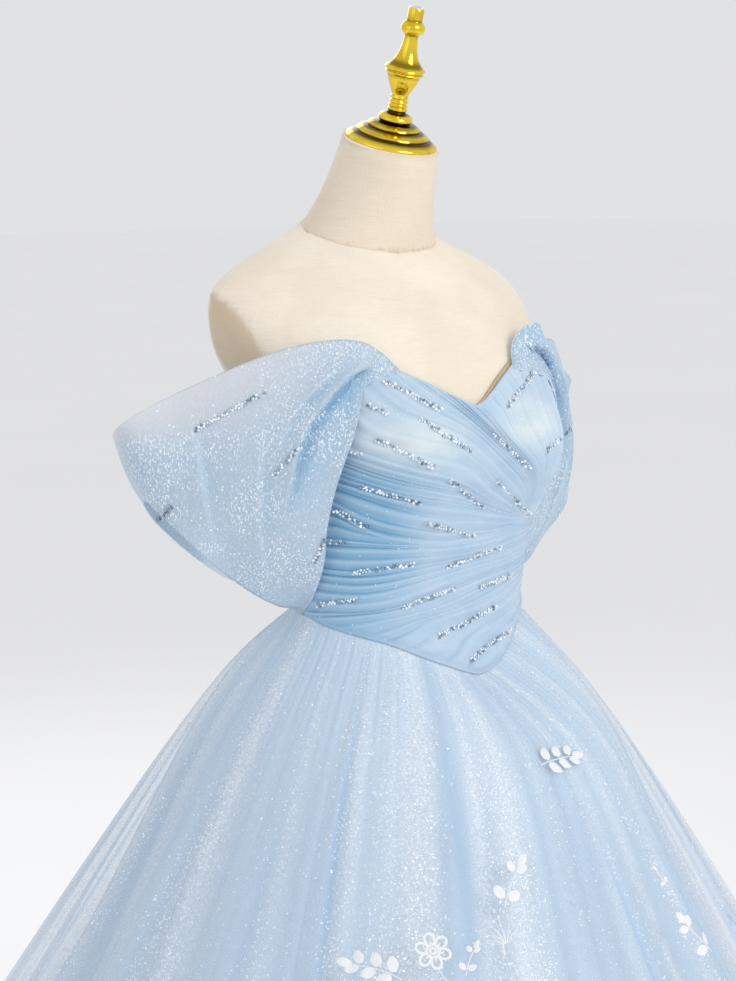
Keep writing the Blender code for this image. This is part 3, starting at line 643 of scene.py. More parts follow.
def pleat(position, depth):
    """Height, painted shade and painted highlight of a soft knife pleat at a position counted in pleats."""
    share = position % 1
    falling = (share - PLEAT_CLIMB) / (1 - PLEAT_CLIMB)
    height = ease(share / PLEAT_CLIMB) if share < PLEAT_CLIMB else 1 - ease(falling)
    shade = bell(share, PLEAT_DARK, DARK_WIDTH) + bell(share, PLEAT_DARK - 1, DARK_WIDTH)
    return depth * height, min(shade, 1.0), bell(share, PLEAT_HIGHLIGHT, HIGHLIGHT_WIDTH)


# the tulle is painted a deeper blue under the right sleeve, as painted shade, and creamy on the cups:
# angle and height of their middles, their half widths, and how creamy they are
DEEP_FROM, DEEP_ROUND, DEEP_MOST = -20, 48, 1.8
DEEP_TOP, DEEP_FADES, DEEP_FOOT, DEEP_AT_FOOT = 1.232, 0.05, 1.07, 0.45
CREAM_CUPS = ((-36, 1.232, 17, 0.022, 0.90), (21, 1.241, 12, 0.022, 0.85))


def tones_at(angle, z):
    """How much painted shade, as a deeper blue, and how creamy the bodice is at a place."""
    degrees = math.degrees(angle)
    deep = ease((DEEP_FROM - degrees) / DEEP_ROUND) * ease((DEEP_TOP - z) / DEEP_FADES)
    deep *= DEEP_AT_FOOT + (1 - DEEP_AT_FOOT) * ease((z - DEEP_FOOT) / DEEP_FADES)
    cream = sum(
        much * bell(degrees, middle, half) * bell(z, height, tall)
        for middle, height, half, tall, much in CREAM_CUPS
    )
    return DEEP_MOST * deep, min(cream, 1.0)


LINES_IN_PLEAT = 8
CROWDED, ROOMY_PLEAT = 0.40, 0.0075
PLEAT_WIDTHS, PLEAT_DEPTHS, PLEAT_DARKS = (0.55, 1.6), (0.40, 1.25), (0.25, 0.45, 0.65, 0.90, 1.0)
MINOR_PLACES, MINOR_DARKS, MINOR_WIDTH = (0.28, 0.62), (0.0, 0.55), 0.09
WAVE_STARTS, WAVE_MEAN, WAVE_VARIES, WAVE_ALONG, WAVE_PER_PLEAT = (0, 6.3), 0.7, 0.3, 7, 2.3
# how pleats wander: size of each wave, its turns along the pleat and across the pleats
PLEAT_WANDER = 0.45
WANDERING = ((1.0, 5, 9), (0.6, 11, -14))
END_FADE_START, END_FADE_END = 0.06, 0.05
SHADE_FROM, SHADE_FULL = 0.02, 0.12
LIFTED_EDGE, LIFTED_DEPTH, LIFTED_DEGREES = 0.0026, 0.012, 12
SEAM_TAPER, SEAM_THICK = 0.010, 0.0003
# painted shade in the valleys, stronger under the sleeve and weaker on the cups, and painted highlights on
# the ridges
VALLEY_SHOWS, VALLEY_DEEPER, VALLEY_IN_CREAM = 0.36, 0.95, 0.5
RIDGE_SHOWS, RIDGE_DEEPER = 0.10, 0.24


def wander_at(t, share, starts, pleats):
    """How far pleats drift sideways at shares along and across them. They stay put at the edges."""
    drift = sum(
        size * math.sin(along * t + start + across * share)
        for (size, along, across), start in zip(WANDERING, starts)
    )
    drift *= PLEAT_WANDER / pleats * ease(4 * t) * ease(4 * (1 - t)) * ease(8 * share) * ease(8 * (1 - share))
    return drift


def place_on(lines, share, column):
    """Angle and height at a share of the way across the lines."""
    at = min(max(share, 0.0), 1.0) * (len(lines) - 1)
    n = min(int(at), len(lines) - 2)
    (angle, z), (next_angle, next_z) = lines[n][column], lines[n + 1][column]
    return angle + (at - n) * (next_angle - angle), z + (at - n) * (next_z - z)


def pleated_sheet(name, lines, pleats, depth, seed):
    """A sheet through lines of angles and heights, with soft uneven pleats along them."""
    chance = random.Random(seed)
    depths = [depth * chance.uniform(*PLEAT_DEPTHS) for _ in range(pleats + 1)]
    darks = [chance.choice(PLEAT_DARKS) for _ in range(pleats + 1)]
    starts = [chance.uniform(*WAVE_STARTS) for _ in range(4)]
    minors = [(chance.uniform(*MINOR_PLACES), chance.uniform(*MINOR_DARKS)) for _ in range(pleats + 1)]
    ends = [0.0]
    for _ in range(pleats):
        ends.append(ends[-1] + chance.uniform(*PLEAT_WIDTHS))
    last = len(lines[0]) - 1

    rows, inside, shades = [], [], {"valley": [], "ridge": [], "deep": [], "cup": []}
    for n in range(pleats * LINES_IN_PLEAT + 1):
        row, inner, valley, ridge, deeps, cups = [], [], [], [], [], []
        which = min(n // LINES_IN_PLEAT, pleats - 1)
        into = n / LINES_IN_PLEAT - which
        share = (ends[which] + into * (ends[which + 1] - ends[which])) / ends[-1]
        minor_at, minor_dark = minors[which]
        for column in range(last + 1):
            t = column / last
            drift = wander_at(t, share, starts, pleats)
            angle, z = place_on(lines, share + drift, column)
            other_angle, other_z = place_on(lines, share + drift + 1 / pleats, column)
            width = math.hypot((other_angle - angle) * BODY_RADIUS, other_z - z)
            height, shade, shine = pleat(n / LINES_IN_PLEAT, min(depths[which], CROWDED * width))
            shade = max(shade, minor_dark * bell(into, minor_at, MINOR_WIDTH))
            roomy = ease(width / ROOMY_PLEAT)
            fade = ease(t / END_FADE_START) * ease((1 - t) / END_FADE_END)
            shade_fade = ease((t - SHADE_FROM) / SHADE_FULL) * ease((1 - t) / END_FADE_END)
            wave = WAVE_MEAN + WAVE_VARIES * math.sin(WAVE_ALONG * t + starts[2] + WAVE_PER_PLEAT * which)
            deep, cup = tones_at(angle, z)
            # the valley's painted shade and the ridge's painted highlight, both stronger where shade is
            # painted under the sleeve
            dark = darks[which] * wave * (VALLEY_SHOWS + VALLEY_DEEPER * min(deep, 1.0))
            lift = LIFTED_EDGE * ease(1 - (neckline(angle) - z) / LIFTED_DEPTH)
            lift *= ease(math.degrees(angle) / LIFTED_DEGREES)
            thinned = ease((z - waist_seam(angle)) / SEAM_TAPER)
            thick = SEAM_THICK + (TULLE_THICK - SEAM_THICK + height * fade) * thinned
            inner.append(on_form(angle, z, LINING_GAP + lift))
            row.append(inner[-1] + thick * outward_at(angle))
            valley.append(shade * roomy * dark * (1 - VALLEY_IN_CREAM * cup) * shade_fade)
            ridge.append(shine * fade * (RIDGE_SHOWS + RIDGE_DEEPER * min(deep, 1.0)) * roomy)
            deeps.append(deep)
            cups.append(cup)
        rows.append(row)
        inside.append(inner)
        for label, values in (("valley", valley), ("ridge", ridge), ("deep", deeps), ("cup", cups)):
            shades[label].append(values)
    cloth = sheet_of(name, rows, shades, 0, [pleated, lining], inside=inside)
    return cloth


# the upper front's pleats run from one point to its other edges, and sweep over the cups
UPPER_RIGHT_LINES, UPPER_TOP_LINES, UPPER_LEFT_LINES = 60, 190, 40
UPPER_COLUMNS = 60
UPPER_PLEATS, UPPER_PLEAT_DEPTH, UPPER_CHANCE = 44, 0.0030, 3
SIDE = math.pi / 2
GATHER_ANGLE, GATHER_RADIUS = math.radians(37), 0.005
GATHER_Z = parting(GATHER_ANGLE)
SWEEP_ANGLE, SWEEP_Z, SWEEP_PULL = math.radians(17), 1.226, 0.75
SWEEP_START, SWEEP_FULL = math.radians(80), math.radians(32)
SIDE_SWEEP, SIDE_SWEEP_HEIGHT = 0.25, 0.080
LINES_BY_PARTING = 26

edge = [(-SIDE, z) for z in spread(parting(-SIDE), neckline(SIDE), UPPER_RIGHT_LINES)[:-1]]
edge += [(angle, neckline(angle)) for angle in spread(-SIDE, SIDE, UPPER_TOP_LINES)]
edge += [(SIDE, z) for z in spread(neckline(SIDE), parting(SIDE), UPPER_LEFT_LINES)[1:]]
upper_lines = []
for n, (angle, z) in enumerate(edge):
    away = Vector(((angle - GATHER_ANGLE) * BODY_RADIUS, z - GATHER_Z)).normalized() * GATHER_RADIUS
    start = (GATHER_ANGLE + away.x / BODY_RADIUS, GATHER_Z + away.y)
    on_left = SIDE_SWEEP if angle > 0 else 0.0
    towards_front = ease((SWEEP_START - abs(angle)) / (SWEEP_START - SWEEP_FULL))
    pull = on_left * ease((z - parting(angle)) / SIDE_SWEEP_HEIGHT) + (1 - on_left) * towards_front
    through = [
        (a + b) / 2 + SWEEP_PULL * pull * (s - (a + b) / 2)
        for a, b, s in zip(start, (angle, z), (SWEEP_ANGLE, SWEEP_Z))
    ]
    beside = ease(1 - min(n, len(edge) - 1 - n) / LINES_BY_PARTING)
    line = []
    for t in spread(0, 1, UPPER_COLUMNS):
        at, height = (
            a * (1 - t) ** 2 + m * 2 * t * (1 - t) + b * t * t for a, m, b in zip(start, through, (angle, z))
        )
        height += beside * (parting(at) - height)
        line.append((at, max(height, parting(at))))
    upper_lines.append(line)
bodice_upper = pleated_sheet("bodice_upper_front", upper_lines, UPPER_PLEATS, UPPER_PLEAT_DEPTH, UPPER_CHANCE)
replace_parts(bodice_upper, "bodice_front_upper")

# the lining's edge stands a little above the neckline where the left cup is seen from inside; its dark khaki
# also stands for the shadow in the gap between bodice and form, so it is partly painted shadow
LINING_SHOWS, LINING_HIDES, LINING_DEPTH = 0.0012, 0.001, 0.012
LINING_OUTER, LINING_INNER = 0.0009, 0.0002
LINING_ENDS, LINING_COLUMNS, LINING_ROWS = (-50, 60), 150, 4
LINING_SHOWS_FROM, LINING_SHOWS_OVER = -3, 5


def lining_rows(out):
    """The lining's edge as rows of points, at a distance from the form."""
    rows = []
    for share in spread(0, 1, LINING_ROWS):
        row = []
        for angle in spread(*(math.radians(end) for end in LINING_ENDS), LINING_COLUMNS):
            shown = ease((math.degrees(angle) - LINING_SHOWS_FROM) / LINING_SHOWS_OVER)
            top = neckline(angle) - LINING_HIDES + (LINING_SHOWS + LINING_HIDES) * shown
            row.append(on_form(angle, top - share * LINING_DEPTH, out))
        rows.append(row)
    return rows


lining_edge_and_gap_shadow = sheet_of(
    "lining_edge_and_gap_shadow", lining_rows(LINING_OUTER), {}, 0, [lining], inside=lining_rows(LINING_INNER),
)

# the lower front's pleats fan out from the left side seam to the waist and to the right side seam
LOWER_LINES, LOWER_COLUMNS = 200, 90
LOWER_PLEATS, LOWER_PLEAT_DEPTH, LOWER_CHANCE = 26, 0.0022, 8
LOWER_WAIST_SHARE = 0.55
LOWER_CROWDING = 0.8
LEVEL_FROM, LEVEL_OVER = 0.8, 0.2
OVERLAP = 0.006
FIRST_WAIST_ANGLE = math.radians(83)

lower_lines = []
for share in spread(0, 1, LOWER_LINES):
    from_z = waist_seam(SIDE) + share ** LOWER_CROWDING * (parting(SIDE) - waist_seam(SIDE))
    if share < LOWER_WAIST_SHARE:
        to_angle = FIRST_WAIST_ANGLE + (-SIDE - FIRST_WAIST_ANGLE) * share / LOWER_WAIST_SHARE
        to_z = waist_seam(to_angle)
    else:
        rise = (share - LOWER_WAIST_SHARE) / (1 - LOWER_WAIST_SHARE)
        to_angle, to_z = -SIDE, waist_seam(-SIDE) + rise * (parting(-SIDE) + OVERLAP - waist_seam(-SIDE))
    line = []
    for t in spread(0, 1, LOWER_COLUMNS):
        angle = SIDE + (to_angle - SIDE) * t
        straight = from_z + (to_z - from_z) * t
        along_top = waist_seam(angle) + share * (parting(angle) + OVERLAP - waist_seam(angle))
        z = straight + ease((share - LEVEL_FROM) / LEVEL_OVER) * (along_top - straight)
        line.append((angle, min(max(z, waist_seam(angle)), parting(angle) + OVERLAP)))
    lower_lines.append(line)
bodice_lower = pleated_sheet("bodice_lower_front", lower_lines, LOWER_PLEATS, LOWER_PLEAT_DEPTH, LOWER_CHANCE)
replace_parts(bodice_lower, "bodice_front_lower")

BACK_COLUMNS, BACK_ROWS = 60, 80
BACK_TUCKS, TUCK_DEPTH, TUCK_WANDER, TUCKS_FLATTEN = 13, 0.0008, 0.25, 14
TUCK_DARKS, BACK_DEEP, BACK_CHANCE = (0.1, 0.5), 0.35, 20
BACK_LIFT, BACK_THICK = 0.0012, 0.0012


def bodice_back(name, side):
    """One half of the back, in the same tulle, laid in shallow level pleats."""
    chance = random.Random(BACK_CHANCE + side)
    darks = [chance.uniform(*TUCK_DARKS) for _ in range(BACK_TUCKS + 2)]
    angles = spread(SIDE, math.pi, BACK_COLUMNS)[::side]
    rows, valleys = [], []
    for up in spread(1, 0, BACK_ROWS):
        row, valley = [], []
        for angle in angles:
            z = waist_seam(angle) + up * (neckline(angle) - waist_seam(angle))
            at = BACK_TUCKS * up + TUCK_WANDER * math.sin(3 * angle + side)
            depth = TUCK_DEPTH * ease(TUCKS_FLATTEN * up) * ease(TUCKS_FLATTEN * (1 - up))
            height, shade, _ = pleat(at, depth)
            row.append(on_form(side * angle, z, LINING_GAP + BACK_LIFT + height))
            # painted shade in each tuck's valley, partly the deeper blue of tulle lying double
            valley.append(shade * darks[int(max(at, 0))])
        rows.append(row)
        valleys.append(valley)
    tones = {
        "valley": valleys,
        "deep": [[BACK_DEEP] * len(angles) for _ in rows],
        "cup": [[0.0] * len(angles) for _ in rows],
    }
    cloth = sheet_of(name, rows, tones, BACK_THICK, [pleated, lining])
    return cloth


backs = {}
for label, side in (("left", 1), ("right", -1)):
    half = backs[label] = bodice_back(f"bodice_{label}_back", side)
    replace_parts(half, f"bodice_back_{label}")


# The skirt's under layer. The real one is opaque satin veiled with glittery, embroidered tulle,
# gathered into the waist seam and open at the hem. It carries most of the glitter.
SKIRT_RADII = (
    (0.010, 0.690), (0.150, 0.640), (0.300, 0.578), (0.450, 0.506), (0.600, 0.424), (0.680, 0.376),
    (0.780, 0.315), (0.880, 0.252), (0.960, 0.200), (1.020, 0.160), (1.060, 0.130),
)
HEM_Z = 0.010
SIDE_WAIST_Z = 1.0570
PUFF_LENGTH, LEVEL_LENGTH = 0.030, 0.300
SKIRT_FORWARD, SKIRT_FORWARD_LENGTH = 0.014, 0.600
# the largest folds: how many, the drop over which they grow, and what makes them uneven, as waves
# with their count round the skirt, their size and where they start
FOLD_COUNT, FOLD_LENGTH = 16, 0.650
FOLD_DRIFTS = ((3, 0.55, 0.4), (5, 0.40, 1.9))
FOLD_DEPTHS = ((2, 0.18, 0.7), (7, 0.08, 1.5))
FOLD_MEAN_DEPTH = 0.74
TUCKED_IN, UNDER_SEAM = 0.002, 0.010
UNDER_LAYER = {"start": -0.0004, "inside": 0.0025, "apart": 0.045, "fold": 0.011, "phase": 2.2}
OVERLAY_LAYER = {"start": 0.0002, "inside": 0.0, "apart": 0.0, "fold": 0.017, "phase": 0.0}
APART_LENGTH = 0.420
MORE_AT_WAIST = 0.75
UNDER_COLUMNS, UNDER_ROWS, UNDER_THICK = 240, 36, 0.0015
# waves that unsettle the fine folds: size, count round the skirt and share of the fold's own start
UNEVEN_DRIFTS = ((0.9, 3, 1), (0.7, 8, 2), (0.4, 17, 1))
UNEVEN_MEAN, UNEVEN_HEIGHTS = 0.62, ((0.22, 5, 1.7), (0.16, 13, 1))
# fine folds: their count round the skirt, their height and where they start
UNDER_GATHERS, UNDER_GATHERS_END = (90, 0.0009, 0.3), 0.2
UNDER_FOLDS, UNDER_FOLDS_GROWN = (41, 0.0040, 1.1), 0.25


def uneven(angle, waves, size, own):
    """A wave round the skirt whose crests are unevenly spaced and unevenly high."""
    drift = sum(much * math.sin(count * angle + share * own) for much, count, share in UNEVEN_DRIFTS)
    height = sum(
        (much * math.sin(count * angle + share * own) for much, count, share in UNEVEN_HEIGHTS), UNEVEN_MEAN
    )
    return size * height * math.cos(waves * angle + drift)


def big_fold(angle, phase):
    """The skirt's largest folds, from -1 to 1, where the CAD solids have them."""
    drift, depth = (
        sum(size * math.sin(waves * angle + own + phase) for waves, size, own in rows)
        for rows in (FOLD_DRIFTS, FOLD_DEPTHS)
    )
    return (FOLD_MEAN_DEPTH + depth) * math.cos(FOLD_COUNT * angle + drift + phase)


def skirt_point(angle, drop, layer, out, waist):
    """A point of a skirt layer at a drop below the side waist, moved out by a distance."""
    above_side = waist_seam(angle) - waist_seam(SIDE)
    z = SIDE_WAIST_Z - drop + above_side * (1 - ease(drop / LEVEL_LENGTH))
    radius = smooth_read(SKIRT_RADII, z) - layer["inside"] - layer["apart"] * ease(drop / APART_LENGTH)
    radius += layer["fold"] * ease(drop / FOLD_LENGTH) * big_fold(angle, layer["phase"])
    forward = SKIRT_FORWARD * (1 - ease(drop / SKIRT_FORWARD_LENGTH))
    full = Vector((radius * math.sin(angle), -radius * math.cos(angle) - forward))
    flat = waist.xy.lerp(full, 1 - math.exp(-max(drop, 0) / PUFF_LENGTH))
    flat += out * ease(drop / UNDER_SEAM) * Vector((math.sin(angle), -math.cos(angle)))
    return Vector((flat.x, flat.y, z))


def skirt_drops(rows):
    """Drops from the waist to the hem, close together at the waist."""
    longest = SIDE_WAIST_Z - HEM_Z
    even = 1 - MORE_AT_WAIST
    return [-TUCKED_IN] + [longest * (even * t + MORE_AT_WAIST * t * t) for t in spread(0, 1, rows)]


def skirt_panel(name, low, high, columns, rows, layer, relief, tones, thick, finish):
    """One panel of a skirt layer. relief gives its fine folds, tones its shader's numbers."""
    grid, shades = [], {label: [] for label in tones}
    angles = spread(math.radians(low), math.radians(high), columns)
    waists = [on_form(angle, waist_seam(angle), LINING_GAP + layer["start"]) for angle in angles]
    for drop in skirt_drops(rows):
        grid.append([
            skirt_point(angle, drop, layer, relief(angle, drop), waist)
            for angle, waist in zip(angles, waists)
        ])
        for label, tone in tones.items():
            shades[label].append([tone(angle, drop) for angle in angles])
    return sheet_of(name, grid, shades, thick, [finish])


def under_relief(angle, drop):
    """The under layer's fine folds: gathers at the waist, and wider folds below."""
    gathers = uneven(angle, *UNDER_GATHERS) * (1 - ease(drop / UNDER_GATHERS_END))
    return gathers + uneven(angle, *UNDER_FOLDS) * ease(drop / UNDER_FOLDS_GROWN)


# Each band of glitter: its middle and half its width in degrees, and how thick the glitter lies.
GLITTER_BANDS = (
    (-178, 4, 0.6), (-163, 5, 0.8), (-143, 4, 0.6), (-122, 5, 0.8), (-104, 4, 0.5), (-84, 5, 0.9),
    (-66, 3, 0.4), (-53, 3.5, 0.6), (-45, 3, 0.5), (-37, 4.5, 1.0), (-23, 2, 0.8), (-15.5, 4.5, 1.0),
    (-3, 1.5, 0.4), (8, 2.5, 0.5), (17, 1.6, 0.9), (30, 4, 0.5), (46, 5, 0.8), (62, 3, 0.5), (80, 5, 0.9),
    (100, 4, 0.5), (120, 5, 0.8), (141, 4, 0.6), (160, 5, 0.8),
)
BAND_WANDER, BAND_WANDERS_DOWN, BAND_WANDERS_ROUND = 1.2, 9, 4
BAND_AT_WAIST, BAND_FULL = 0.75, 0.10


def glitter_bands(angle, drop):
    """Where the under layer's glitter lies thick: uneven stripes down the skirt."""
    at = math.degrees(angle)
    at += BAND_WANDER * math.sin(BAND_WANDERS_DOWN * drop + BAND_WANDERS_ROUND * angle)
    thick = sum(much * bell(at, middle, half) for middle, half, much in GLITTER_BANDS)
    return min(thick, 1.0) * (BAND_AT_WAIST + (1 - BAND_AT_WAIST) * ease(drop / BAND_FULL))


SATIN_WHITE, SATIN_BLUE, SATIN_SHADE = (0.78, 0.84, 0.89), (0.55, 0.68, 0.81), (0.40, 0.52, 0.66)
GLITTER_SMALL, GLITTER_LARGE = (0.98, 0.99, 1.0), (1.0, 1.0, 1.0)
SATIN_PATCHES, SATIN_PATCHES_DOWN, SATIN_PATCHES_SHOW = 6, (1, 1, 0.25), 0.35
SATIN_NET, SATIN_NET_RISE = 900, 0.0001
# spots in a metre, and half a spot's width as a share of the room each has
SMALL_SPOTS, LARGE_SPOTS, SHADED_SPOTS = (380, 0.45), (210, 0.32), (430, 0.55)
SMALL_SHOWS, SHADED_SHOWS = 0.8, 0.45

satin, satin_shader = new_finish(
    "glitter_satin", Roughness=0.5, Sheen_Weight=0.3, Sheen_Roughness=0.4, Specular_IOR_Level=0.35,
)
glitter = tone_of(satin, "glitter")
satin_patches = clouds(satin, SATIN_PATCHES, stretch=SATIN_PATCHES_DOWN)


def spots(made, amount, room, low, high, fewest, most):
    """Spots that lie thicker as an amount grows from low to high. room is their scale and size."""
    return sparkle(made, room[0], ramp(made, amount, low, high, fewest, most), room[1])


fine_glitter = spots(satin, glitter, SMALL_SPOTS, 0.05, 0.9, 0.04, 0.75)
big_glitter = spots(satin, glitter, LARGE_SPOTS, 0.2, 1.0, 0.02, 0.35)
shaded_glitter = spots(satin, glitter, SHADED_SPOTS, 0.1, 0.9, 0.0, 0.6)
satin_blue = blended(satin, glitter, SATIN_BLUE, SATIN_WHITE)
satin_blue = blended(satin, times(satin, satin_patches, SATIN_PATCHES_SHOW), satin_blue, SATIN_BLUE)
satin_blue = blended(satin, times(satin, shaded_glitter, SHADED_SHOWS), satin_blue, SATIN_SHADE)
satin_blue = blended(satin, times(satin, fine_glitter, SMALL_SHOWS), satin_blue, GLITTER_SMALL)
satin_blue = blended(satin, big_glitter, satin_blue, GLITTER_LARGE)
satin_normal = raised(satin, tulle_grain(satin, SATIN_NET), SATIN_NET_RISE)
wire(satin, satin_shader, Base_Color=satin_blue, Normal=satin_normal)

# each panel's name, its ends in degrees, and how many half fronts it measures
PANELS = (("front", -90, 90, 2), ("back_left", 90, 180, 1), ("back_right", -180, -90, 1))
unders = {}
for label, low, high, halves in PANELS:
    panel = unders[label] = skirt_panel(
        f"skirt_under_layer_{label}", low, high, UNDER_COLUMNS * halves, UNDER_ROWS, UNDER_LAYER,
        under_relief, {"glitter": glitter_bands}, UNDER_THICK, satin,
    )
    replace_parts(panel, f"skirt_under_{label}")


# The skirt's outer layer. The real one is a single layer of sheer tulle with scattered glitter,
# gathered into the waist seam over the other, so folds show as darker and paler streaks.
# Each fold: its middle and half its width in degrees, its depth in mm, how thick the tulle lies.
VEIL_FOLDS = (
    (-176, 3.0, 4.0, 0.6), (-169, 0.9, 1.5, 0.8), (-160, 2.4, 3.5, 0.5), (-152, 1.0, 2.0, 0.9),
    (-147, 2.6, 3.0, 0.4), (-138, 3.4, 4.5, 0.6), (-131, 0.8, 1.5, 0.8), (-127, 2.0, 2.5, 0.4),
    (-117, 2.6, 3.5, 0.6), (-111, 0.9, 1.5, 0.9), (-106, 2.4, 3.0, 0.4), (-97.5, 1.6, 2.5, 0.7),
    (-93, 0.7, 1.5, 0.9), (-88.5, 2.0, 3.0, 0.5), (-80.5, 0.6, 1.2, 0.7), (-76, 1.3, 2.5, 0.6),
    (-70.5, 0.6, 1.5, 0.7), (-66, 2.4, 3.5, 0.4), (-60.5, 1.2, 2.0, 0.5), (-57.5, 0.45, 1.2, 0.5),
    (-53.5, 1.25, 3.0, 1.0), (-48.5, 0.5, 1.0, 0.35), (-45, 1.3, 2.0, 0.35), (-41.5, 0.5, 1.0, 0.3),
    (-36.5, 0.45, 1.0, 0.4), (-33.5, 0.4, 0.8, 0.3), (-29.5, 2.3, 3.5, 0.75), (-25.2, 0.45, 1.2, 0.8),
    (-19.5, 0.5, 1.0, 0.5), (-17, 0.9, 1.5, 0.3), (-11.5, 0.5, 1.2, 0.6), (-7.5, 2.0, 3.5, 0.75),
    (-3, 0.5, 1.2, 0.8), (0.5, 2.2, 3.0, 0.6), (5.5, 1.2, 2.0, 0.7), (10.5, 0.6, 1.5, 0.9),
    (14, 1.6, 2.5, 0.5), (20.5, 1.0, 2.0, 0.9), (25.5, 2.4, 3.5, 0.5), (33, 1.0, 2.0, 0.8),
    (38, 2.6, 3.5, 0.5), (45.5, 0.8, 1.5, 0.8), (51, 2.2, 3.0, 0.5), (58, 1.0, 2.0, 0.9),
    (64, 3.0, 4.0, 0.5), (72, 0.8, 1.5, 0.8), (77, 2.2, 3.0, 0.5), (86, 1.4, 2.5, 0.9),
    (93, 3.0, 4.0, 0.5), (101, 0.9, 1.5, 0.8), (107, 2.5, 3.5, 0.5), (116, 1.2, 2.0, 0.9),
    (124, 3.0, 4.0, 0.5), (132, 0.9, 1.5, 0.8), (139, 2.4, 3.0, 0.5), (148, 1.0, 2.0, 0.9),
    (155, 2.8, 4.0, 0.5), (163, 0.9, 1.5, 0.8), (171, 2.6, 3.5, 0.5), (184, 3.0, 4.0, 0.6),
)
FOLDS_SEEN, FOLD_WANDER, FOLD_WANDERS_DOWN, FOLD_WANDERS_ROUND = 3, 0.6, 7, 5
NARROW_FOLD, NARROW_SHOWS, WIDE_SHOWS = 1.3, 0.35, 0.5
FOLD_MEAN_SHOWS, FOLD_VARIES, FOLDS_VARY_DOWN, FOLDS_DIFFER = 0.62, 0.38, 9, 2.1
# fine folds, as in the under layer
VEIL_GATHERS, VEIL_GATHERS_END = (150, 0.0012, 0.0), 0.15
SOFT_FOLDS, SMALL_FOLDS, VEIL_FOLDS_GROWN = (34, 0.0016, 2.0), (71, 0.0010, 0.6), 0.25
BUNCHED_NEAR, BUNCHED_IN_GATHERS = 0.16, 0.3
BUNCHED_MEAN, BUNCHED_IN_FINE = 0.22, 0.12
FOLDS_AT_WAIST, FOLDS_FULL = 0.35, 0.2


def veil_folds_at(angle, drop):
    """The folds near a place: how far into each it lies, from 0 to 1, its depth and its thickness."""
    at = math.degrees(angle)
    at += FOLD_WANDER * math.sin(FOLD_WANDERS_DOWN * drop + FOLD_WANDERS_ROUND * angle)
    near = []
    for middle, half, deep, thick in VEIL_FOLDS:
        off = abs(at - middle) / half
        if off < FOLDS_SEEN:
            shows = thick * (NARROW_SHOWS + WIDE_SHOWS * min(half, NARROW_FOLD))
            varies = math.sin(FOLDS_VARY_DOWN * drop + FOLDS_DIFFER * middle)
            shows *= FOLD_MEAN_SHOWS + FOLD_VARIES * varies
            near.append((math.exp(-off * off), deep, shows))
    return near


def overlay_relief(angle, drop):
    """The outer layer's folds: fine gathers at the waist, and listed folds below."""
    gathers = uneven(angle, *VEIL_GATHERS) * (1 - ease(drop / VEIL_GATHERS_END))
    folds = sum(-deep / 1000 * height for height, deep, _ in veil_folds_at(angle, drop))
    fine = uneven(angle, *SOFT_FOLDS) + uneven(angle, *SMALL_FOLDS)
    return gathers + (fine + folds) * ease(drop / VEIL_FOLDS_GROWN)


def level_wave(angle, fine_fold):
    """A fine fold's wave with a height of 1."""
    waves, _, own = fine_fold
    return uneven(angle, waves, 1.0, own)


def overlay_bunching(angle, drop):
    """How thick the tulle lies on itself: most in the valleys, and near the waist."""
    near = 1 - ease(drop / BUNCHED_NEAR)
    valley = 0.5 - 0.5 * level_wave(angle, VEIL_GATHERS)
    fine = level_wave(angle, SOFT_FOLDS) + level_wave(angle, SMALL_FOLDS)
    folds = sum(shows * height for height, _, shows in veil_folds_at(angle, drop))
    folds *= FOLDS_AT_WAIST + (1 - FOLDS_AT_WAIST) * ease(drop / FOLDS_FULL)
    fine_folds = BUNCHED_MEAN - BUNCHED_IN_FINE * fine
    return min(max(near * BUNCHED_IN_GATHERS * valley + (1 - near) * fine_folds + folds, 0.0), 1.0)


TULLE_PALE, TULLE_BLUE, TULLE_SPARK = (0.72, 0.80, 0.88), (0.38, 0.54, 0.74), (1.0, 1.0, 1.0)
SPARK_SPOTS, DUST_SPOTS, DUST_SHOWS = (250, 0.30), (420, 0.42), 0.6
VEIL_NET, VEIL_NET_SHOWS = 800, 0.06
THINNEST, THICKEST = 0.16, 0.66
VEIL_COLUMNS, VEIL_ROWS = 420, 40

veil, veil_shader = new_finish(
    "sheer_tulle", Roughness=0.6, Sheen_Weight=0.3, Sheen_Roughness=0.4, Specular_IOR_Level=0.2,
)
bunched_tulle = tone_of(veil, "bunched")
veil_blue = blended(veil, bunched_tulle, TULLE_PALE, TULLE_BLUE)
veil_glitter = tone_of(veil, "glitter")
veil_sparks = spots(veil, veil_glitter, SPARK_SPOTS, 0.15, 1.0, 0.01, 0.30)
veil_dust = spots(veil, veil_glitter, DUST_SPOTS, 0.05, 1.0, 0.03, 0.55)
veil_sparks = times(veil, veil_sparks, times(veil, veil_dust, DUST_SHOWS), how="MAXIMUM")
veil_net = ramp(veil, tulle_grain(veil, VEIL_NET), 0.1, 0.6)
veil_net = ramp(veil, veil_net, 0, 1, -VEIL_NET_SHOWS, VEIL_NET_SHOWS)
veil_cover = ramp(veil, bunched_tulle, 0, 1, THINNEST, THICKEST)
veil_cover = times(veil, veil_cover, times(veil, veil_net, veil_sparks, how="ADD"), how="ADD")
veil_colour = blended(veil, veil_sparks, veil_blue, TULLE_SPARK)
wire(veil, veil_shader, Base_Color=veil_colour, Alpha=veil_cover)

veils = {}
for label, low, high, halves in PANELS:
    panel = veils[label] = skirt_panel(
        f"skirt_veil_{label}", low, high, VEIL_COLUMNS * halves, VEIL_ROWS, OVERLAY_LAYER,
        overlay_relief, {"bunched": overlay_bunching, "glitter": glitter_bands}, 0, veil,
    )
    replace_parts(panel, f"skirt_overlay_{label}")


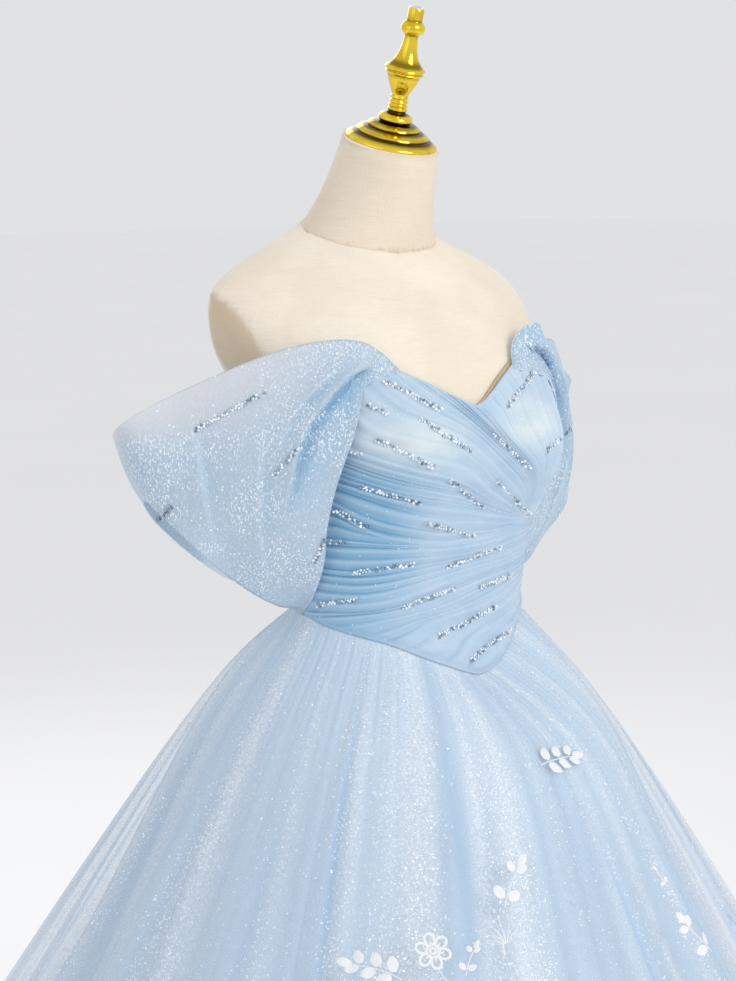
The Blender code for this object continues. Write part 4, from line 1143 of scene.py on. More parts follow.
# The sleeves. The real ones are wide loops of two layers of glittery tulle, gathered into the
# bodice's neckline at the front and the back, open above and below, and falling in soft folds.
SLEEVE_SECTIONS = (
    {"rim": (0.088, -0.105, 1.293), "belly": (0.139, -0.100, 1.196), "hem": (0.1200, -0.012, 1.0605)},
    {"rim": (0.112, -0.088, 1.321), "belly": (0.174, -0.073, 1.200), "hem": (0.1600, -0.016, 1.0740)},
    {"rim": (0.165, -0.050, 1.316), "belly": (0.210, -0.037, 1.200), "hem": (0.1960, -0.007, 1.0980)},
    {"rim": (0.238, 0.014, 1.277), "belly": (0.240, 0.003, 1.205), "hem": (0.2367, 0.000, 1.1340)},
    {"rim": (0.283, 0.048, 1.2455), "belly": (0.271, 0.051, 1.213), "hem": (0.2555, 0.050, 1.1720)},
    {"rim": (0.252, 0.100, 1.224), "belly": (0.238, 0.098, 1.185), "hem": (0.2170, 0.090, 1.1420)},
    {"rim": (0.185, 0.126, 1.236), "belly": (0.180, 0.118, 1.165), "hem": (0.1540, 0.092, 1.0910)},
    {"rim": (0.100, 0.085, 1.240), "belly": (0.128, 0.060, 1.150), "hem": (0.1180, 0.012, 1.0605)},
)
SLEEVE_MIDDLE = 0.13
SLEEVE_THICK = 0.0010
SLEEVE_COLUMNS, SLEEVE_ROWS, SLEEVE_STEP = 190, 72, 0.01
FINER_IN_FRONT = 1.5
# how far the cloth stands off the form: in the middle, at its edges, and where it lies on pleats
SLEEVE_CLEAR, SLEEVE_EDGE_CLEAR, ON_PLEATS = 0.0085, 0.0042, 0.0062
# shares of a sleeve, round it or down it, over which it is sewn down, stands off and hugs the arm
SLEEVE_SEWN, SLEEVE_STANDS, SLEEVE_HUGS = 0.11, 0.12, 0.42
SLEEVE_DROOPS = (0.17, 0.70)
NEAR_RIM, REACHES, DIPS = 0.16, 0.12, 0.10
ROLL_MIDDLE, ROLL_WIDTH = 0.09, 0.055
HELD_ON_PLEATS, HELD_DOWN = 0.12, 0.10
# what differs between the two: metres of droop, reach, dip and roll at the rim, and shares of the rest
LEFT_SLEEVE = {
    "side": 1, "droop": 0.014, "hug": 0.125, "reach": 0.041, "dip": 0.006, "roll": 0.022,
    "held": 1.0, "whole_sleeve_shade": 0.30,
}
RIGHT_SLEEVE = {
    "side": -1, "droop": 0.0, "hug": 0.0, "reach": 0.008, "dip": 0.0, "roll": 0.0,
    "held": 0.0, "whole_sleeve_shade": 0.0,
}
# How far back round the body, in degrees, the free edge lies at shares of its drop.
FREE_EDGE_BACK = (
    (0.00, 0.0), (0.03, 7.0), (0.07, 9.0), (0.13, 6.8), (0.30, 3.8), (0.42, 3.2), (0.55, 2.6), (0.70, 0.8),
    (0.80, -2.0), (0.88, -2.8), (0.95, -2.2), (1.00, 0.0),
)
FREE_EDGE_REACH = 0.13


def section_line(edge, around):
    """The rim, belly or hem of the sleeve's sections, read at a share of the way round it."""
    keys = spread(0, 1, len(SLEEVE_SECTIONS) - 1)
    places = [row[edge] for row in SLEEVE_SECTIONS]
    return Vector([smooth_read(list(zip(keys, along_axis)), around) for along_axis in zip(*places)])


def sleeve_point(around, down, shape):
    """A point in the middle of a sleeve's cloth, on the left. Both shares run from 0 to 1."""
    rim, belly, hem = (section_line(edge, around) for edge in ("rim", "belly", "hem"))
    droop_in, droop_out = SLEEVE_DROOPS
    rim.z -= shape["droop"] * ease(around / droop_in) * ease(2 * (droop_out - around))
    belly.xy *= 1 - shape["hug"] * ease(1 - around / SLEEVE_HUGS)
    bow = 4 * down * (1 - down)
    point = rim * (1 - down) * (1 - 2 * down) + belly * bow + hem * down * (2 * down - 1)
    near_rim = 1 - ease(down / NEAR_RIM)
    point.x -= shape["reach"] * (1 - ease(around / REACHES)) * near_rim
    point.z += shape["roll"] * bell(around, ROLL_MIDDLE, ROLL_WIDTH) * near_rim
    point.z -= shape["dip"] * (1 - ease(around / DIPS)) * near_rim
    back = math.radians(smooth_read(FREE_EDGE_BACK, down)) * (1 - ease(around / FREE_EDGE_REACH))
    from_axis = Vector((point.x, point.y - BODY_AXIS_Y))
    from_axis.rotate(Matrix.Rotation(back, 2))
    return Vector((from_axis.x, from_axis.y + BODY_AXIS_Y, point.z))


def off_the_form(point, gap, hold):
    """The same point, at least a gap off the form, and just that gap where hold is 1."""
    angle = math.atan2(point.x, BODY_AXIS_Y - point.y)
    nearest = on_form(angle, point.z, gap)
    axis = Vector((0, BODY_AXIS_Y, point.z))
    inside = (point - axis).length < (nearest - axis).length
    return nearest if inside else point.lerp(nearest, hold)


# Folds of a sleeve. The path gives how far round the sleeve the fold lies at shares of its drop.
# Behind its edge, away from the free edge, the cloth stands high, and before it lies a trough, given painted
# shade.
MAIN_FOLD = (
    (0.02, 0.012), (0.07, 0.075), (0.125, 0.116), (0.19, 0.138), (0.30, 0.162), (0.43, 0.160), (0.55, 0.150),
    (0.75, 0.152),
)
SLEEVE_FOLDS = (
    {"path": MAIN_FOLD, "start": 0.02, "full": 0.08, "fade": 0.38, "end": 0.72,
     "height": 0.0085, "behind": 0.020, "before": 0.024, "shade": 0.95},
    {"path": MAIN_FOLD, "start": 0.02, "full": 0.05, "fade": 0.22, "end": 0.50,
     "height": 0.0008, "behind": 0.004, "before": 0.0035, "shade": 0.95},
    {"path": ((0.06, 0.150), (0.16, 0.178), (0.24, 0.200), (0.32, 0.214), (0.45, 0.215)),
     "start": 0.07, "full": 0.17, "fade": 0.20, "end": 0.44,
     "height": 0.0042, "behind": 0.014, "before": 0.012, "shade": 0.45},
    {"path": ((0.08, 0.058), (0.20, 0.060), (0.34, 0.070), (0.50, 0.072)),
     "start": 0.06, "full": 0.16, "fade": 0.22, "end": 0.48,
     "height": 0.0022, "behind": 0.010, "before": 0.010, "shade": 0.35},
    {"path": ((0.30, 0.265), (0.50, 0.235), (0.70, 0.205), (0.95, 0.170)),
     "start": 0.30, "full": 0.55, "fade": 0.65, "end": 0.98,
     "height": 0.0026, "behind": 0.030, "before": 0.028, "shade": 0.22},
    {"path": ((0.05, 0.420), (0.40, 0.400), (0.95, 0.350)),
     "start": 0.10, "full": 0.45, "fade": 0.60, "end": 0.98,
     "height": 0.0024, "behind": 0.040, "before": 0.034, "shade": 0.12},
    {"path": ((0.02, 0.905), (0.25, 0.870), (0.60, 0.840), (0.95, 0.870)),
     "start": 0.02, "full": 0.20, "fade": 0.60, "end": 0.95,
     "height": -0.0055, "behind": 0.022, "before": 0.020, "shade": 0.70},
    {"path": ((0.02, 0.955), (0.30, 0.930), (0.60, 0.925)),
     "start": 0.02, "full": 0.15, "fade": 0.40, "end": 0.70,
     "height": -0.0030, "behind": 0.014, "before": 0.012, "shade": 0.50},
    {"path": ((0.10, 0.760), (0.50, 0.730), (0.95, 0.740)),
     "start": 0.10, "full": 0.40, "fade": 0.60, "end": 0.95,
     "height": -0.0026, "behind": 0.034, "before": 0.030, "shade": 0.20},
)
FOLD_STEEPNESS, TROUGH_SHADES = 0.0014, 0.55


def sleeve_crease(around, down, metres_round):
    """Height of the sleeve's folds at a place, and how much painted shade the cloth gets there."""
    height, shade = 0.0, 0.0
    for fold in SLEEVE_FOLDS:
        off = (around - smooth_read(fold["path"], down)) * metres_round
        if fold["height"] < 0:
            off = -off
        strength = ease((down - fold["start"]) / (fold["full"] - fold["start"]))
        strength *= ease((fold["end"] - down) / (fold["end"] - fold["fade"]))
        reach = fold["behind"] if off > 0 else fold["before"]
        step = math.tanh(off / FOLD_STEEPNESS) * math.exp(-abs(off) / reach)
        height += abs(fold["height"]) * strength * step
        if off < 0:
            shade += fold["shade"] * strength * math.exp(off / (TROUGH_SHADES * fold["before"]))
    return height, min(shade, 1.0)


PALE_RIM_DOWN, PALE_RIM_FROM, PALE_RIM_OVER = 0.5, 0.1, 0.3


def sleeve(name, shape):
    """A sleeve through its sections, pushed off the form, with its creases."""
    rows, folds, rims = [], [], []
    for down in spread(0, 1, SLEEVE_ROWS):
        row, fold_row, rim_row = [], [], []
        for around in (share ** FINER_IN_FRONT for share in spread(0, 1, SLEEVE_COLUMNS)):
            here, below = min(around, 1 - SLEEVE_STEP), min(down, 1 - SLEEVE_STEP)
            corner = sleeve_point(here, below, shape)
            along = sleeve_point(here + SLEEVE_STEP, below, shape) - corner
            fall = sleeve_point(here, below + SLEEVE_STEP, shape) - corner
            outward = fall.cross(along).normalized()
            height, shade = sleeve_crease(around, down, along.length / SLEEVE_STEP)
            at_end = 1 - ease(around / SLEEVE_SEWN) * ease((1 - around) / SLEEVE_SEWN)
            at_edge = 1 - ease(down / SLEEVE_SEWN) * ease((1 - down) / SLEEVE_SEWN)
            standing = ease(down / SLEEVE_STANDS) * ease((1 - down) / SLEEVE_STANDS)
            gap = SLEEVE_EDGE_CLEAR + (SLEEVE_CLEAR - SLEEVE_EDGE_CLEAR) * standing
            gap += (ON_PLEATS - gap) * shape["held"] * ease(1 - around / HELD_ON_PLEATS)
            held_down = shape["held"] * ease(1 - around / HELD_DOWN) * ease(2 - 3 * down)
            hold = max(at_end * at_edge, held_down)
            point = off_the_form(sleeve_point(around, down, shape) + outward * height, gap, hold)
            row.append(Vector((shape["side"] * point.x, point.y, point.z)))
            # painted shade in the folds' troughs, and painted shade over the whole far sleeve
            fold_row.append(max(shade, shape["whole_sleeve_shade"]))
            pale_rim = ease(1 - down / PALE_RIM_DOWN) * ease((around - PALE_RIM_FROM) / PALE_RIM_OVER)
            rim_row.append((1 - shape["held"]) * pale_rim)
        rows.append(row)
        folds.append(fold_row)
        rims.append(rim_row)
    cloth = sheet_of(
        name, rows, {"fold": folds, "rim": rims}, SLEEVE_THICK, [sleeve_tulle, sleeve_inside],
        middle=(SLEEVE_MIDDLE * shape["side"], 0.0),
    )
    return cloth


SLEEVE_GREY, SLEEVE_BLUE, SLEEVE_TROUGH_SHADE = (0.63, 0.65, 0.70), (0.44, 0.56, 0.68), (0.20, 0.40, 0.60)
SLEEVE_STREAK, SLEEVE_SHADE, SLEEVE_SPARK = (0.90, 0.93, 0.97), (0.30, 0.42, 0.55), (1.0, 1.0, 1.0)
THICKET_SCALE, THICKET_SPARSE, RIM_SPARSE = 16, 0.35, 0.35
GAP_SCALE, GAPS_DOWN, GAPS_SHOW = 560, (1, 1, 0.55), 0.40
STREAK_SCALE, STREAKS_DOWN, STREAKS_SHOW = 640, (1, 1, 0.50), 0.80
SLEEVE_SPOTS, SLEEVE_SPOT_SHARE, SLEEVE_SPOT_SIZE = 380, 0.20, 0.36
SLEEVE_NET, SLEEVE_NET_RISE = 700, 0.0002

sleeve_tulle, sleeve_shader = new_finish(
    "sleeve_tulle", Roughness=0.55, Sheen_Weight=0.35, Sheen_Roughness=0.4, Specular_IOR_Level=0.3,
)
pale_rim = tone_of(sleeve_tulle, "rim")
sleeve_colour = blended(sleeve_tulle, pale_rim, SLEEVE_BLUE, SLEEVE_GREY)
# painted shade: in the folds' troughs, and evenly over the far sleeve
sleeve_colour = blended(sleeve_tulle, tone_of(sleeve_tulle, "fold"), sleeve_colour, SLEEVE_TROUGH_SHADE)
thicket = clouds(sleeve_tulle, THICKET_SCALE, low=0.38, high=0.60)
much = times(
    sleeve_tulle, ramp(sleeve_tulle, thicket, 0, 1, THICKET_SPARSE, 1.0),
    ramp(sleeve_tulle, pale_rim, 0.0, 0.9, 1.0, RIM_SPARSE),
)
gaps = clouds(sleeve_tulle, GAP_SCALE, detail=1.5, stretch=GAPS_DOWN, low=0.46, high=0.66)
gaps = times(sleeve_tulle, times(sleeve_tulle, gaps, much), GAPS_SHOW)
sleeve_colour = blended(sleeve_tulle, gaps, sleeve_colour, SLEEVE_SHADE)
streaks = clouds(sleeve_tulle, STREAK_SCALE, detail=1.5, stretch=STREAKS_DOWN, low=0.50, high=0.70)
streaks = times(sleeve_tulle, times(sleeve_tulle, streaks, much), STREAKS_SHOW)
sleeve_colour = blended(sleeve_tulle, streaks, sleeve_colour, SLEEVE_STREAK)
spot_share = times(sleeve_tulle, much, SLEEVE_SPOT_SHARE)
sleeve_sparks = sparkle(sleeve_tulle, SLEEVE_SPOTS, spot_share, SLEEVE_SPOT_SIZE)
sleeve_colour = blended(sleeve_tulle, sleeve_sparks, sleeve_colour, SLEEVE_SPARK)
sleeve_normal = raised(sleeve_tulle, tulle_grain(sleeve_tulle, SLEEVE_NET), SLEEVE_NET_RISE)
wire(sleeve_tulle, sleeve_shader, Base_Color=sleeve_colour, Normal=sleeve_normal)

# inside, the cloth has a faint glow, painted light that stands for the light coming through it
INSIDE_PAINTED_GLOW, PAINTED_GLOW_STRENGTH = (0.55, 0.68, 0.80, 1.0), 0.10
INSIDE_BLUE, INSIDE_NET = (0.46, 0.57, 0.68), (0.62, 0.71, 0.80)
sleeve_inside, inside_shader = new_finish(
    "sleeve_inside", Roughness=0.6, Sheen_Weight=0.2,
    Emission_Color=INSIDE_PAINTED_GLOW, Emission_Strength=PAINTED_GLOW_STRENGTH,
)
inner_net = ramp(sleeve_inside, tulle_grain(sleeve_inside, SLEEVE_NET), 0.1, 0.6)
wire(sleeve_inside, inside_shader, Base_Color=blended(sleeve_inside, inner_net, INSIDE_BLUE, INSIDE_NET))

sleeves = {}
for label, shape in (("left", LEFT_SLEEVE), ("right", RIGHT_SLEEVE)):
    loop = sleeves[label] = sleeve(f"{label}_sleeve", shape)
    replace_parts(loop, f"sleeve_{label}")


# Bead dashes. The real ones are short crooked double rows of faceted crystal beads, clear, pale
# blue and smoky, sewn through the tulle. Their facets' tones are partly that colour and partly
# painted glints and painted dark reflections. All those on one piece of the gown are one mesh.
BEAD_STEP, FEWEST_BEADS, BEADS_LOST = 0.0030, 3, 0.12
BEAD_SIZES = (0.0023, 0.0032)
BEAD_SPREAD, BEAD_STRAYS, BEAD_TILTS = 0.0022, 0.35, 0.5
BEAD_LIFT, BEAD_HEIGHT = 0.45, 0.9
BEAD_TONES, TONE_VARIES = (0.10, 0.35, 0.6, 0.8, 1.0, 1.0), 0.35
CRYSTAL_WHITE_GLINT, CRYSTAL_BLUE = (0.95, 0.97, 1.0), (0.62, 0.74, 0.85)
CRYSTAL_GREY, CRYSTAL_SMOKE_AND_DARK_REFLECTION = (0.30, 0.41, 0.52), (0.11, 0.17, 0.24)
BEAD_SIDES, BEAD_DEPTH, BEAD_BEVEL = 6, 0.4, 0.14

# one bead, a cut disc of width 1, whose corners and faces the others copy
bpy.ops.mesh.primitive_cylinder_add(vertices=BEAD_SIDES, radius=0.5, depth=BEAD_DEPTH)
pattern_bead = bpy.context.object
bpy.ops.object.mode_set(mode="EDIT")
bpy.ops.mesh.select_all(action="SELECT")
bpy.ops.mesh.bevel(offset=BEAD_BEVEL, segments=1)
bpy.ops.object.mode_set(mode="OBJECT")
BEAD_CORNERS = [vertex.co.copy() for vertex in pattern_bead.data.vertices]
BEAD_FACES = [tuple(face.vertices) for face in pattern_bead.data.polygons]
bpy.data.objects.remove(pattern_bead)

crystal, crystal_shader = new_finish(
    "crystal_beads", Roughness=0.10, Metallic=0.15, IOR=1.6, Specular_IOR_Level=0.8,
)
facet_reflection = tone_of(crystal, "facet_reflection")
crystal_colour = blended(crystal, ramp(crystal, facet_reflection, 0.0, 0.35), CRYSTAL_SMOKE_AND_DARK_REFLECTION, CRYSTAL_GREY)
crystal_colour = blended(crystal, ramp(crystal, facet_reflection, 0.3, 0.65), crystal_colour, CRYSTAL_BLUE)
crystal_colour = blended(crystal, ramp(crystal, facet_reflection, 0.6, 1.0), crystal_colour, CRYSTAL_WHITE_GLINT)
wire(crystal, crystal_shader, Base_Color=crystal_colour)


def through_pixel(x, y):
    """Direction from the camera through a pixel of the photo."""
    aim = Vector((x - PHOTO_WIDTH / 2, PHOTO_HEIGHT / 2 - y, -FOCAL_PIXELS))
    return (camera.rotation_euler.to_matrix() @ aim).normalized()


def half_turned(normal, towards):
    """A normal on the side of a direction, turned half of the way to it, so that beads lie evenly."""
    return ((normal if normal.dot(towards) > 0 else -normal) + towards).normalized()


def seen_at(surface, x, y):
    """Place and normal of a surface where the photo shows a pixel, and the way to the camera."""
    towards = through_pixel(x, y)
    place, normal = surface.ray_cast(camera.location, towards)[:2]
    return place, normal, -towards


def placed_at(surface, angle, z):
    """Place and normal of a surface at an angle and a height, and the way outwards."""
    outward = outward_at(angle)
    start = Vector((0, BODY_AXIS_Y, z)) + outward
    place, normal = surface.ray_cast(start, -outward)[:2]
    return place, normal, outward


def bead_dashes(name, surface, dashes, find, seed):
    """The beads on one piece. Each dash runs from one place to another, as find reads places."""
    chance = random.Random(seed)
    corners, faces, facet_reflections = [], [], []
    for dash in dashes:
        start, end = find(surface, *dash[:2])[0], find(surface, *dash[2:])[0]
        if start is None or end is None:
            continue
        count = max(round((end - start).length / BEAD_STEP), FEWEST_BEADS)
        for n in range(2 * count):
            share = n / (2 * count - 1)
            at = (a + share * (b - a) for a, b in zip(dash[:2], dash[2:]))
            place, normal, way_out = find(surface, *at)
            if place is None or chance.random() < BEADS_LOST:
                continue
            normal = half_turned(normal, way_out)
            along = (end - start).normalized()
            across = normal.cross(along).normalized()
            size = chance.uniform(*BEAD_SIZES)
            stray = chance.uniform(-BEAD_STRAYS, BEAD_STRAYS)
            centre = place + normal * BEAD_LIFT * size + across * BEAD_SPREAD * ((n % 2) - 0.5 + stray)
            turn = chance.uniform(0, math.pi)
            tilt_x, tilt_y = (chance.uniform(-BEAD_TILTS, BEAD_TILTS) for _ in range(2))
            tilt = Vector((tilt_x, tilt_y, 1)).normalized()
            first = len(corners)
            for corner in BEAD_CORNERS:
                flat_x = corner.x * math.cos(turn) - corner.y * math.sin(turn)
                flat_y = corner.x * math.sin(turn) + corner.y * math.cos(turn)
                lean = corner.z + tilt.x * flat_x + tilt.y * flat_y
                offset = along * flat_x + across * flat_y + normal * BEAD_HEIGHT * lean
                corners.append(centre + size * offset)
            # each bead's tone, varied facet by facet: painted glints and painted dark reflections over the
            # crystal's own colour
            tone = chance.choice(BEAD_TONES)
            for face in BEAD_FACES:
                faces.append(tuple(first + index for index in face))
                facet_reflections.append(min(max(tone + chance.uniform(-TONE_VARIES, TONE_VARIES), 0), 1))
    mesh = bpy.data.meshes.new(name)
    mesh.from_pydata(corners, [], faces)
    mesh.attributes.new("facet_reflection", "FLOAT", "FACE").data.foreach_set("value", facet_reflections)
    mesh.materials.append(crystal)
    beads = bpy.data.objects.new(name, mesh)
    scene.collection.objects.link(beads)
    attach(beads, "root")
    return beads


# Start and end of each dash, in the photo's pixels.
UPPER_DASHES = (
    (384, 381, 441, 410), (368, 405, 388, 414), (420, 419, 472, 451), (376, 440, 434, 467),
    (352, 451, 361, 455), (361, 486, 422, 504), (335, 510, 369, 529), (449, 479, 483, 508),
    (492, 433, 530, 468), (497, 482, 530, 515), (535, 372, 508, 406), (561, 438, 547, 450),
    (423, 522, 475, 536), (331, 512, 352, 522),
)
LOWER_DASHES = (
    (330, 541, 347, 542), (353, 573, 414, 564), (447, 567, 501, 547), (403, 607, 455, 588),
    (317, 605, 360, 599), (439, 636, 496, 607), (479, 589, 513, 573), (470, 660, 511, 629),
)
NEAR_SLEEVE_DASHES = (
    (195, 430, 266, 392), (273, 477, 303, 443), (157, 521, 172, 506), (314, 562, 325, 540),
)
FAR_SLEEVE_DASHES = ((572, 428, 566, 434),)
# Start and end of each dash where the photo shows none, as angles in degrees and heights.
LEFT_SIDE_DASHES = (
    (66, 1.20, 80, 1.185), (68, 1.155, 86, 1.165), (70, 1.10, 86, 1.11), (68, 1.065, 86, 1.075),
)
BACK_DASHES = (
    (100, 1.22, 116, 1.213), (124, 1.19, 142, 1.197), (150, 1.225, 168, 1.217), (104, 1.155, 122, 1.162),
    (134, 1.145, 152, 1.138), (160, 1.17, 174, 1.175), (102, 1.09, 120, 1.083), (130, 1.10, 148, 1.108),
    (156, 1.085, 172, 1.078),
)
SLEEVE_BACK_DASHES = (
    (114, 1.215, 122, 1.203), (124, 1.190, 130, 1.178), (116, 1.165, 123, 1.152), (127, 1.222, 132, 1.210),
)


def in_radians(dashes, side=1):
    """Dashes with their angles in radians, on the left, or mirrored where side is -1."""
    return [(side * math.radians(a), low, side * math.radians(b), high) for a, low, b, high in dashes]


upper_surface, lower_surface = surface_of(bodice_upper), surface_of(bodice_lower)
bead_dashes("beads_upper_front", upper_surface, UPPER_DASHES, seen_at, 1)
bead_dashes("beads_lower_front", lower_surface, LOWER_DASHES, seen_at, 2)
bead_dashes("beads_near_sleeve", surface_of(sleeves["right"]), NEAR_SLEEVE_DASHES, seen_at, 3)
bead_dashes("beads_far_sleeve", surface_of(sleeves["left"]), FAR_SLEEVE_DASHES, seen_at, 12)
bead_dashes("beads_left_side_upper", upper_surface, in_radians(LEFT_SIDE_DASHES[:2]), placed_at, 4)
bead_dashes("beads_left_side_lower", lower_surface, in_radians(LEFT_SIDE_DASHES[2:]), placed_at, 5)
for label, side in (("left", 1), ("right", -1)):
    on_back, on_sleeve = in_radians(BACK_DASHES, side), in_radians(SLEEVE_BACK_DASHES, side)
    bead_dashes(f"beads_{label}_back", surface_of(backs[label]), on_back, placed_at, 6 + side)
    bead_dashes(f"beads_{label}_sleeve_back", surface_of(sleeves[label]), on_sleeve, placed_at, 9 + side)


# Embroidered sprigs. The real ones are machine-embroidered white leaf sprigs, open six-petalled
# flowers and fans of grass on the skirt's tulle, all over it.
THREAD_RISE = 0.0012
STITCH_PALE, STITCH_SHADED = (0.90, 0.91, 0.92), (0.80, 0.83, 0.86)
STITCH_SCALE, STITCHES_DOWN, STITCH_RISE = 1500, (1, 1, 0.3), 0.0002

embroidery, embroidery_shader = new_finish(
    "white_embroidery", Roughness=0.7, Sheen_Weight=0.3, Sheen_Roughness=0.4,
)
stitches = clouds(embroidery, STITCH_SCALE, stretch=STITCHES_DOWN, low=0.3, high=0.7)
wire(
    embroidery, embroidery_shader,
    Base_Color=blended(embroidery, stitches, STITCH_PALE, STITCH_SHADED),
    Normal=raised(embroidery, stitches, STITCH_RISE),
)

# The motifs are drawn flat, in millimetres, standing on the point (0, 0).
STEM_WIDTH, OUTLINE_WIDTH, BLADE_WIDTH, ROOT_WIDTH = 1.1, 2.4, 0.9, 1.6
THREAD_HEIGHT, LEAF_HEIGHT, EDGE_HEIGHT = 0.5, 1.0, 0.25
LEAF_STEPS, RING_STEPS, STEM_STEPS = 8, 14, 10
BLUNT_FOOT, LEAF_FULLNESS = 0.08, 0.75


def leaf(root, tip, width):
    """A satin-stitched leaf as strips across it, root first."""
    strips = []
    for t in spread(0, 1, LEAF_STEPS):
        swell = math.sin(math.pi * min(t * (1 - BLUNT_FOOT) + BLUNT_FOOT, 1.0))
        middle = (root[0] + t * (tip[0] - root[0]), root[1] + t * (tip[1] - root[1]))
        strips.append((middle, width / 2 * swell ** LEAF_FULLNESS, LEAF_HEIGHT))
    return strips


def thread(points, width=STEM_WIDTH):
    """A stem or an outline, as a narrow raised line through points."""
    return [(point, width / 2, THREAD_HEIGHT) for point in points]


def petal_ring(centre, radius, squash=1.0, lean=0.0):
    """Points round a petal or a flower's eye."""
    points = []
    for n in range(RING_STEPS + 1):
        a = 2 * math.pi * n / RING_STEPS
        x, y = radius * math.cos(a), radius * squash * math.sin(a)
        turned_x = centre[0] + x * math.cos(lean) - y * math.sin(lean)
        turned_y = centre[1] + x * math.sin(lean) + y * math.cos(lean)
        points.append((turned_x, turned_y))
    return points


# shares of a sprig's length
FIRST_PAIR, PAIRS_OVER = 0.18, 0.66
LEAF_LENGTH, LEAF_WIDTH, LEAF_SPLAY = 0.44, 0.58, 0.95
TIP_LENGTH, TIP_WIDTH, TIP_CURL = 0.36, 0.19, 0.4
LEAVES_SHRINK, LEAVES_CLOSE, LEAF_OUT, LEAF_UP = 0.25, 0.25, 0.12, 0.10


def leaf_sprig(length, pairs, curl):
    """A bent stem with leaves on both sides and one at the tip."""
    stem = [(curl * (t * t) * length, t * length) for t in spread(0, 1, STEM_STEPS)]
    parts = [thread(stem)]
    for n in range(pairs):
        t = FIRST_PAIR + PAIRS_OVER * n / max(pairs - 1, 1)
        foot = (curl * t * t * length, t * length)
        size = LEAF_LENGTH * length * (1 - LEAVES_SHRINK * t)
        tilt = LEAF_SPLAY - LEAVES_CLOSE * t
        for side in (-1, 1):
            tip = (foot[0] + side * size * math.sin(tilt), foot[1] + size * math.cos(tilt))
            near = (foot[0] + side * LEAF_OUT * size, foot[1] + LEAF_UP * size)
            parts.append(leaf(near, tip, LEAF_WIDTH * size))
    top = stem[-1]
    tip = (top[0] + TIP_CURL * curl * length, top[1] + TIP_LENGTH * length)
    parts.append(leaf(top, tip, TIP_WIDTH * length))
    return parts


# shares of a flower's radius
PETALS = 6
EYE, PETAL_MIDDLE, PETAL_RADIUS, PETAL_SQUASH, PETAL_FOOT = 0.16, 0.64, 0.34, 0.82, 0.22
FLOWER_STEM = ((0, -1), (0.1, -1.5), (0.35, -1.9))


def open_flower(radius):
    """Petals in outline round a ring, on a short stem."""
    parts = [thread(petal_ring((0, 0), EYE * radius), OUTLINE_WIDTH)]
    for n in range(PETALS):
        a = math.pi / 2 + 2 * math.pi * n / PETALS
        foot, middle = (
            (reach * radius * math.cos(a), reach * radius * math.sin(a))
            for reach in (PETAL_FOOT, PETAL_MIDDLE)
        )
        parts.append(thread(petal_ring(middle, PETAL_RADIUS * radius, PETAL_SQUASH, a), OUTLINE_WIDTH))
        parts.append(leaf(foot, middle, OUTLINE_WIDTH))
    parts.append(thread([(x * radius, y * radius) for x, y in FLOWER_STEM]))
    return parts


BLADES, FIRST_BLADE, BLADE_TURN = 11, -62, 12.5
# shares of a fan's length
BLADE_MEAN, BLADE_VARIES, BLADE_BEND, BLADE_BOW, BLADE_APART = 0.75, 0.25, 0.5, 0.08, 0.02
FAN_ROOT = ((-0.1, -0.35), (0, 0), (0.1, 0.1))


def grass_fan(length):
    """Blades of grass that fan out from a short root."""
    parts = []
    for n in range(BLADES):
        a = math.radians(FIRST_BLADE + BLADE_TURN * n)
        reach = length * (BLADE_MEAN + BLADE_VARIES * math.sin(3.3 * n + 1))
        tip = (reach * math.sin(a), reach * math.cos(a))
        bend = (BLADE_BEND * tip[0] + BLADE_BOW * length * math.cos(a), BLADE_BEND * tip[1])
        parts.append(thread([(BLADE_APART * length * n, 0), bend, tip], BLADE_WIDTH))
    parts.append(thread([(x * length, y * length) for x, y in FAN_ROOT], ROOT_WIDTH))
    return parts


FROM_OVER_CLOTH, REACH_OF_CLOTH = 0.03, 0.08


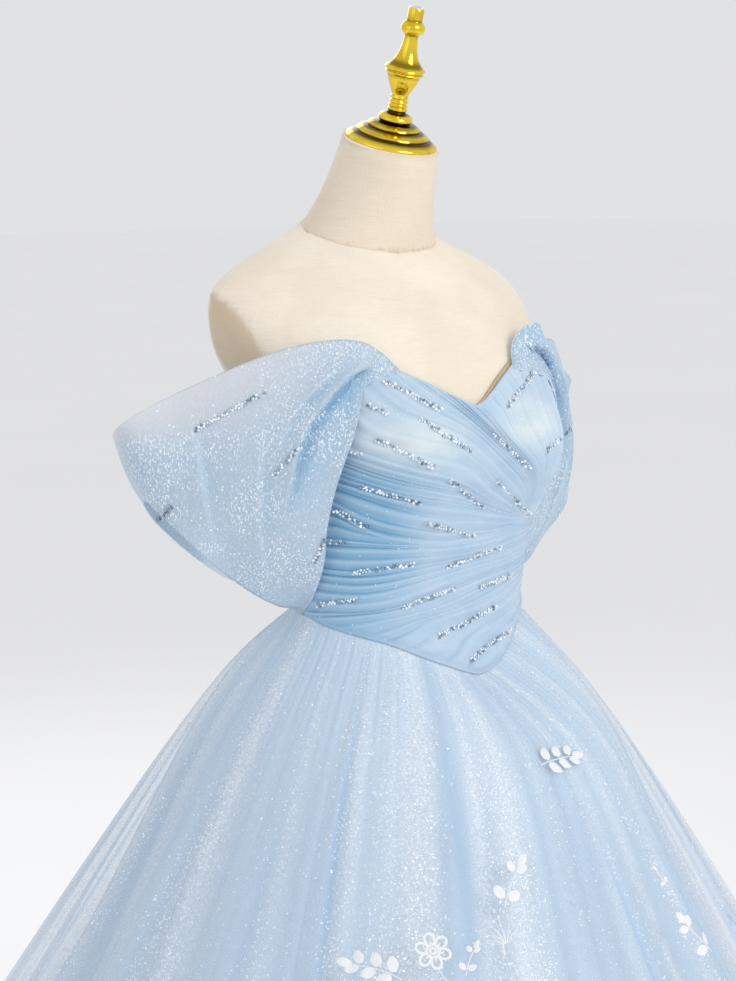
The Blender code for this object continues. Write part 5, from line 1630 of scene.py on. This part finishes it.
def sprigs_on(name, surface, rows, find):
    """Sprigs laid on a surface. A row has a place, a turn in degrees and the motif."""
    corners, faces = [], []
    for place_x, place_y, turn, motif in rows:
        place, normal = find(surface, place_x, place_y)[:2]
        if place is None:
            continue
        if normal.z < 0 and normal.dot(place - Vector((0, 0, place.z))) < 0:
            normal = -normal
        level = Vector((0, 0, 1)).cross(normal).normalized()
        steep = normal.cross(level).normalized()
        spin = math.radians(turn)

        def laid(flat, rise):
            """A point of the flat motif, laid on the cloth and raised over it."""
            x = (flat[0] * math.cos(spin) - flat[1] * math.sin(spin)) / 1000
            y = (flat[0] * math.sin(spin) + flat[1] * math.cos(spin)) / 1000
            aim = place + level * x + steep * y
            hit = surface.ray_cast(aim + FROM_OVER_CLOTH * normal, -normal, REACH_OF_CLOTH)[0]
            return (hit if hit is not None else aim) + normal * rise

        for part in motif:
            first = len(corners)
            for n, (middle, half, high) in enumerate(part):
                before, after = part[max(n - 1, 0)][0], part[min(n + 1, len(part) - 1)][0]
                run = Vector((after[0] - before[0], after[1] - before[1])).normalized()
                side = (-run.y * half, run.x * half)
                for share, rise in ((-1, EDGE_HEIGHT), (0, 1.0), (1, EDGE_HEIGHT)):
                    flat = (middle[0] + share * side[0], middle[1] + share * side[1])
                    corners.append(laid(flat, rise * high * THREAD_RISE))
                if n:
                    row = first + 3 * n
                    faces += [(row - 3, row - 2, row + 1, row), (row - 2, row - 1, row + 2, row + 1)]
    mesh = bpy.data.meshes.new(name)
    mesh.from_pydata(corners, [], faces)
    mesh.materials.append(embroidery)
    sprigs = bpy.data.objects.new(name, mesh)
    scene.collection.objects.link(sprigs)
    mesh.polygons.foreach_set("use_smooth", [True] * len(faces))
    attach(sprigs, "root")
    return sprigs


# The photo's own sprigs: pixel of the foot, turn in degrees and motif.
PHOTO_SPRIGS = (
    (541, 765, -76, leaf_sprig(44, 3, 0.12)), (505, 908, -18, leaf_sprig(40, 2, 0.25)),
    (402, 980, 52, leaf_sprig(42, 3, -0.2)), (433, 951, 12, open_flower(16)), (503, 945, 10, grass_fan(26)),
    (712, 952, 25, leaf_sprig(38, 2, 0.2)), (668, 886, 30, leaf_sprig(18, 1, 0.1)),
    (466, 976, -15, leaf_sprig(24, 2, 0.2)),
)
sprigs_on("sprigs_in_the_photo", surface_of(veils["front"]), PHOTO_SPRIGS, seen_at)

# The others lie in tiers: height of each, and how many there are in half a front.
SPRIG_TIERS = ((0.84, 5), (0.70, 8), (0.54, 9), (0.38, 10), (0.23, 11), (0.10, 12))
MOTIFS = (
    leaf_sprig(34, 2, 0.2), leaf_sprig(46, 3, -0.2), open_flower(17), grass_fan(30), leaf_sprig(30, 2, -0.25),
)
SPRIG_CHANCE, SPRIG_STRAYS, SPRIG_RISES, SPRIG_TURNS = 31, 0.22, 0.03, 60
# Where the photo shows the skirt: two angles in degrees, and the height above which only the
# photo's own sprigs lie.
IN_VIEW = ((-180, -90, 0.64), (-90, 60, 0.725))

chance = random.Random(SPRIG_CHANCE)
for label, low, high, halves in PANELS:
    rows = []
    for tier, (z, count) in enumerate(SPRIG_TIERS):
        for n in range(count * halves):
            at = n + 0.5 + chance.uniform(-SPRIG_STRAYS, SPRIG_STRAYS)
            angle = low + (high - low) * at / (count * halves)
            height = z + chance.uniform(-SPRIG_RISES, SPRIG_RISES)
            if any(start < angle < end and height > lowest for start, end, lowest in IN_VIEW):
                continue
            turn = chance.uniform(-SPRIG_TURNS, SPRIG_TURNS)
            rows.append((math.radians(angle), height, turn, MOTIFS[(n * 3 + tier) % len(MOTIFS)]))
    sprigs_on(f"sprigs_{label}", surface_of(veils[label]), rows, placed_at)
